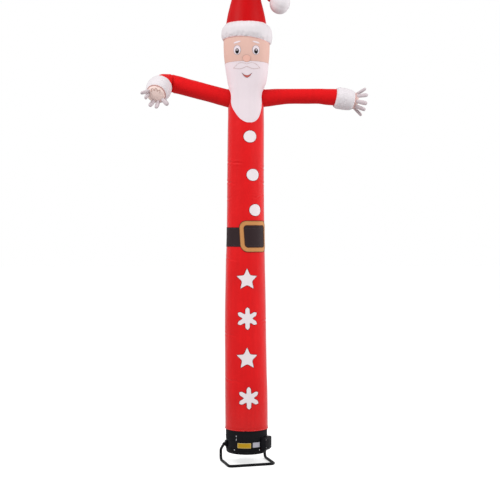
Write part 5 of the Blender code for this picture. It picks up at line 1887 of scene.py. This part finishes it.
class AIRDANCER_OT_stage(bpy.types.Operator):
    """Lay the floor, set the light and place the camera"""

    bl_idname = "airdancer.stage"
    bl_label = "Stage"

    def execute(self, context):
        stage = context.scene.air_stage
        white = (1.0, 1.0, 1.0, 1.0)
        tree, shader = new_material("floor")
        _, _, multiply, _ = maths(tree)
        seen = wire(tree, "ShaderNodeLightPath").outputs["Is Camera Ray"]
        feed(shader, Base_Color=(*stage.floor, 1.0), Roughness=0.9, Specular_IOR_Level=0.1,
             Emission_Color=white, Emission_Strength=multiply(seen, FLOOR_GLOW))
        bm = bmesh.new()
        bmesh.ops.create_grid(bm, x_segments=8, y_segments=8, size=60.0)
        mesh = bpy.data.meshes.new("floor")
        bm.to_mesh(mesh)
        bm.free()
        mesh.materials.append(bpy.data.materials["floor" + MADE])
        place_in_scene("floor", mesh)

        world = bpy.data.worlds.new("studio")
        world.use_nodes = True
        tree = world.node_tree
        lit = feed(tree.nodes["Background"], Color=(0.985, 0.985, 1.0, 1.0), Strength=stage.ambient)
        shown = wire(tree, "ShaderNodeBackground", Color=white, Strength=1.0)
        seen = wire(tree, "ShaderNodeLightPath").outputs["Is Camera Ray"]
        mixed = wire(tree, "ShaderNodeMixShader", s0=seen, s1=lit.outputs[0], s2=shown.outputs[0])
        feed(tree.nodes["World Output"], Surface=mixed.outputs[0])
        context.scene.world = world
        for name, spot, aim, size in LIGHTS:
            light = bpy.data.lights.new(name, "AREA")
            light.size = size
            light.energy = getattr(stage, name)
            light.specular_factor = 0.5
            turn = (Vector(aim) - Vector(spot)).to_track_quat("-Z", "Y").to_euler()
            place_in_scene(name, light, AXIS + Vector(spot), turn)
        context.scene.view_settings.view_transform = "Standard"

        camera = bpy.data.cameras.new("camera")
        camera.lens = stage.lens
        camera.sensor_width = 36.0
        spot = AXIS + Vector((stage.aside, -stage.distance, stage.height))
        turn = (pi / 2 - stage.down, 0.0, 0.0)
        context.scene.camera = place_in_scene("camera", camera, spot, turn)
        return {"FINISHED"}


class AIRDANCER_PT_panel(bpy.types.Panel):
    """The builder's steps and settings"""

    bl_label = "Air dancer"
    bl_idname = "AIRDANCER_PT_panel"
    bl_space_type = "VIEW_3D"
    bl_region_type = "UI"
    bl_category = "Air dancer"

    def draw(self, context):
        for step in STEPS:
            self.layout.operator(step.bl_idname)
        for group in (context.scene.air_cloth, context.scene.air_blower, context.scene.air_stage):
            box = self.layout.box()
            for key in group.bl_rna.properties.keys():
                if key not in ("rna_type", "name"):
                    box.prop(group, key)


GROUPS = (("air_cloth", AirDancerCloth), ("air_blower", AirDancerBlower),
          ("air_stage", AirDancerStage))
STEPS = (AIRDANCER_OT_materials, AIRDANCER_OT_body, AIRDANCER_OT_head, AIRDANCER_OT_face,
         AIRDANCER_OT_dress, AIRDANCER_OT_hat, AIRDANCER_OT_arms, AIRDANCER_OT_blower,
         AIRDANCER_OT_stand, AIRDANCER_OT_stage)


def register():
    for name, group in GROUPS:
        bpy.utils.register_class(group)
        setattr(bpy.types.Scene, name, bpy.props.PointerProperty(type=group))
    for step in (*STEPS, AIRDANCER_PT_panel):
        bpy.utils.register_class(step)


def unregister():
    for step in reversed((*STEPS, AIRDANCER_PT_panel)):
        bpy.utils.unregister_class(step)
    for name, group in reversed(GROUPS):
        delattr(bpy.types.Scene, name)
        bpy.utils.unregister_class(group)


def main():
    register()
    for step in STEPS:
        family, name = step.bl_idname.split(".")
        getattr(getattr(bpy.ops, family), name)()


if __name__ == "__main__":
    main()
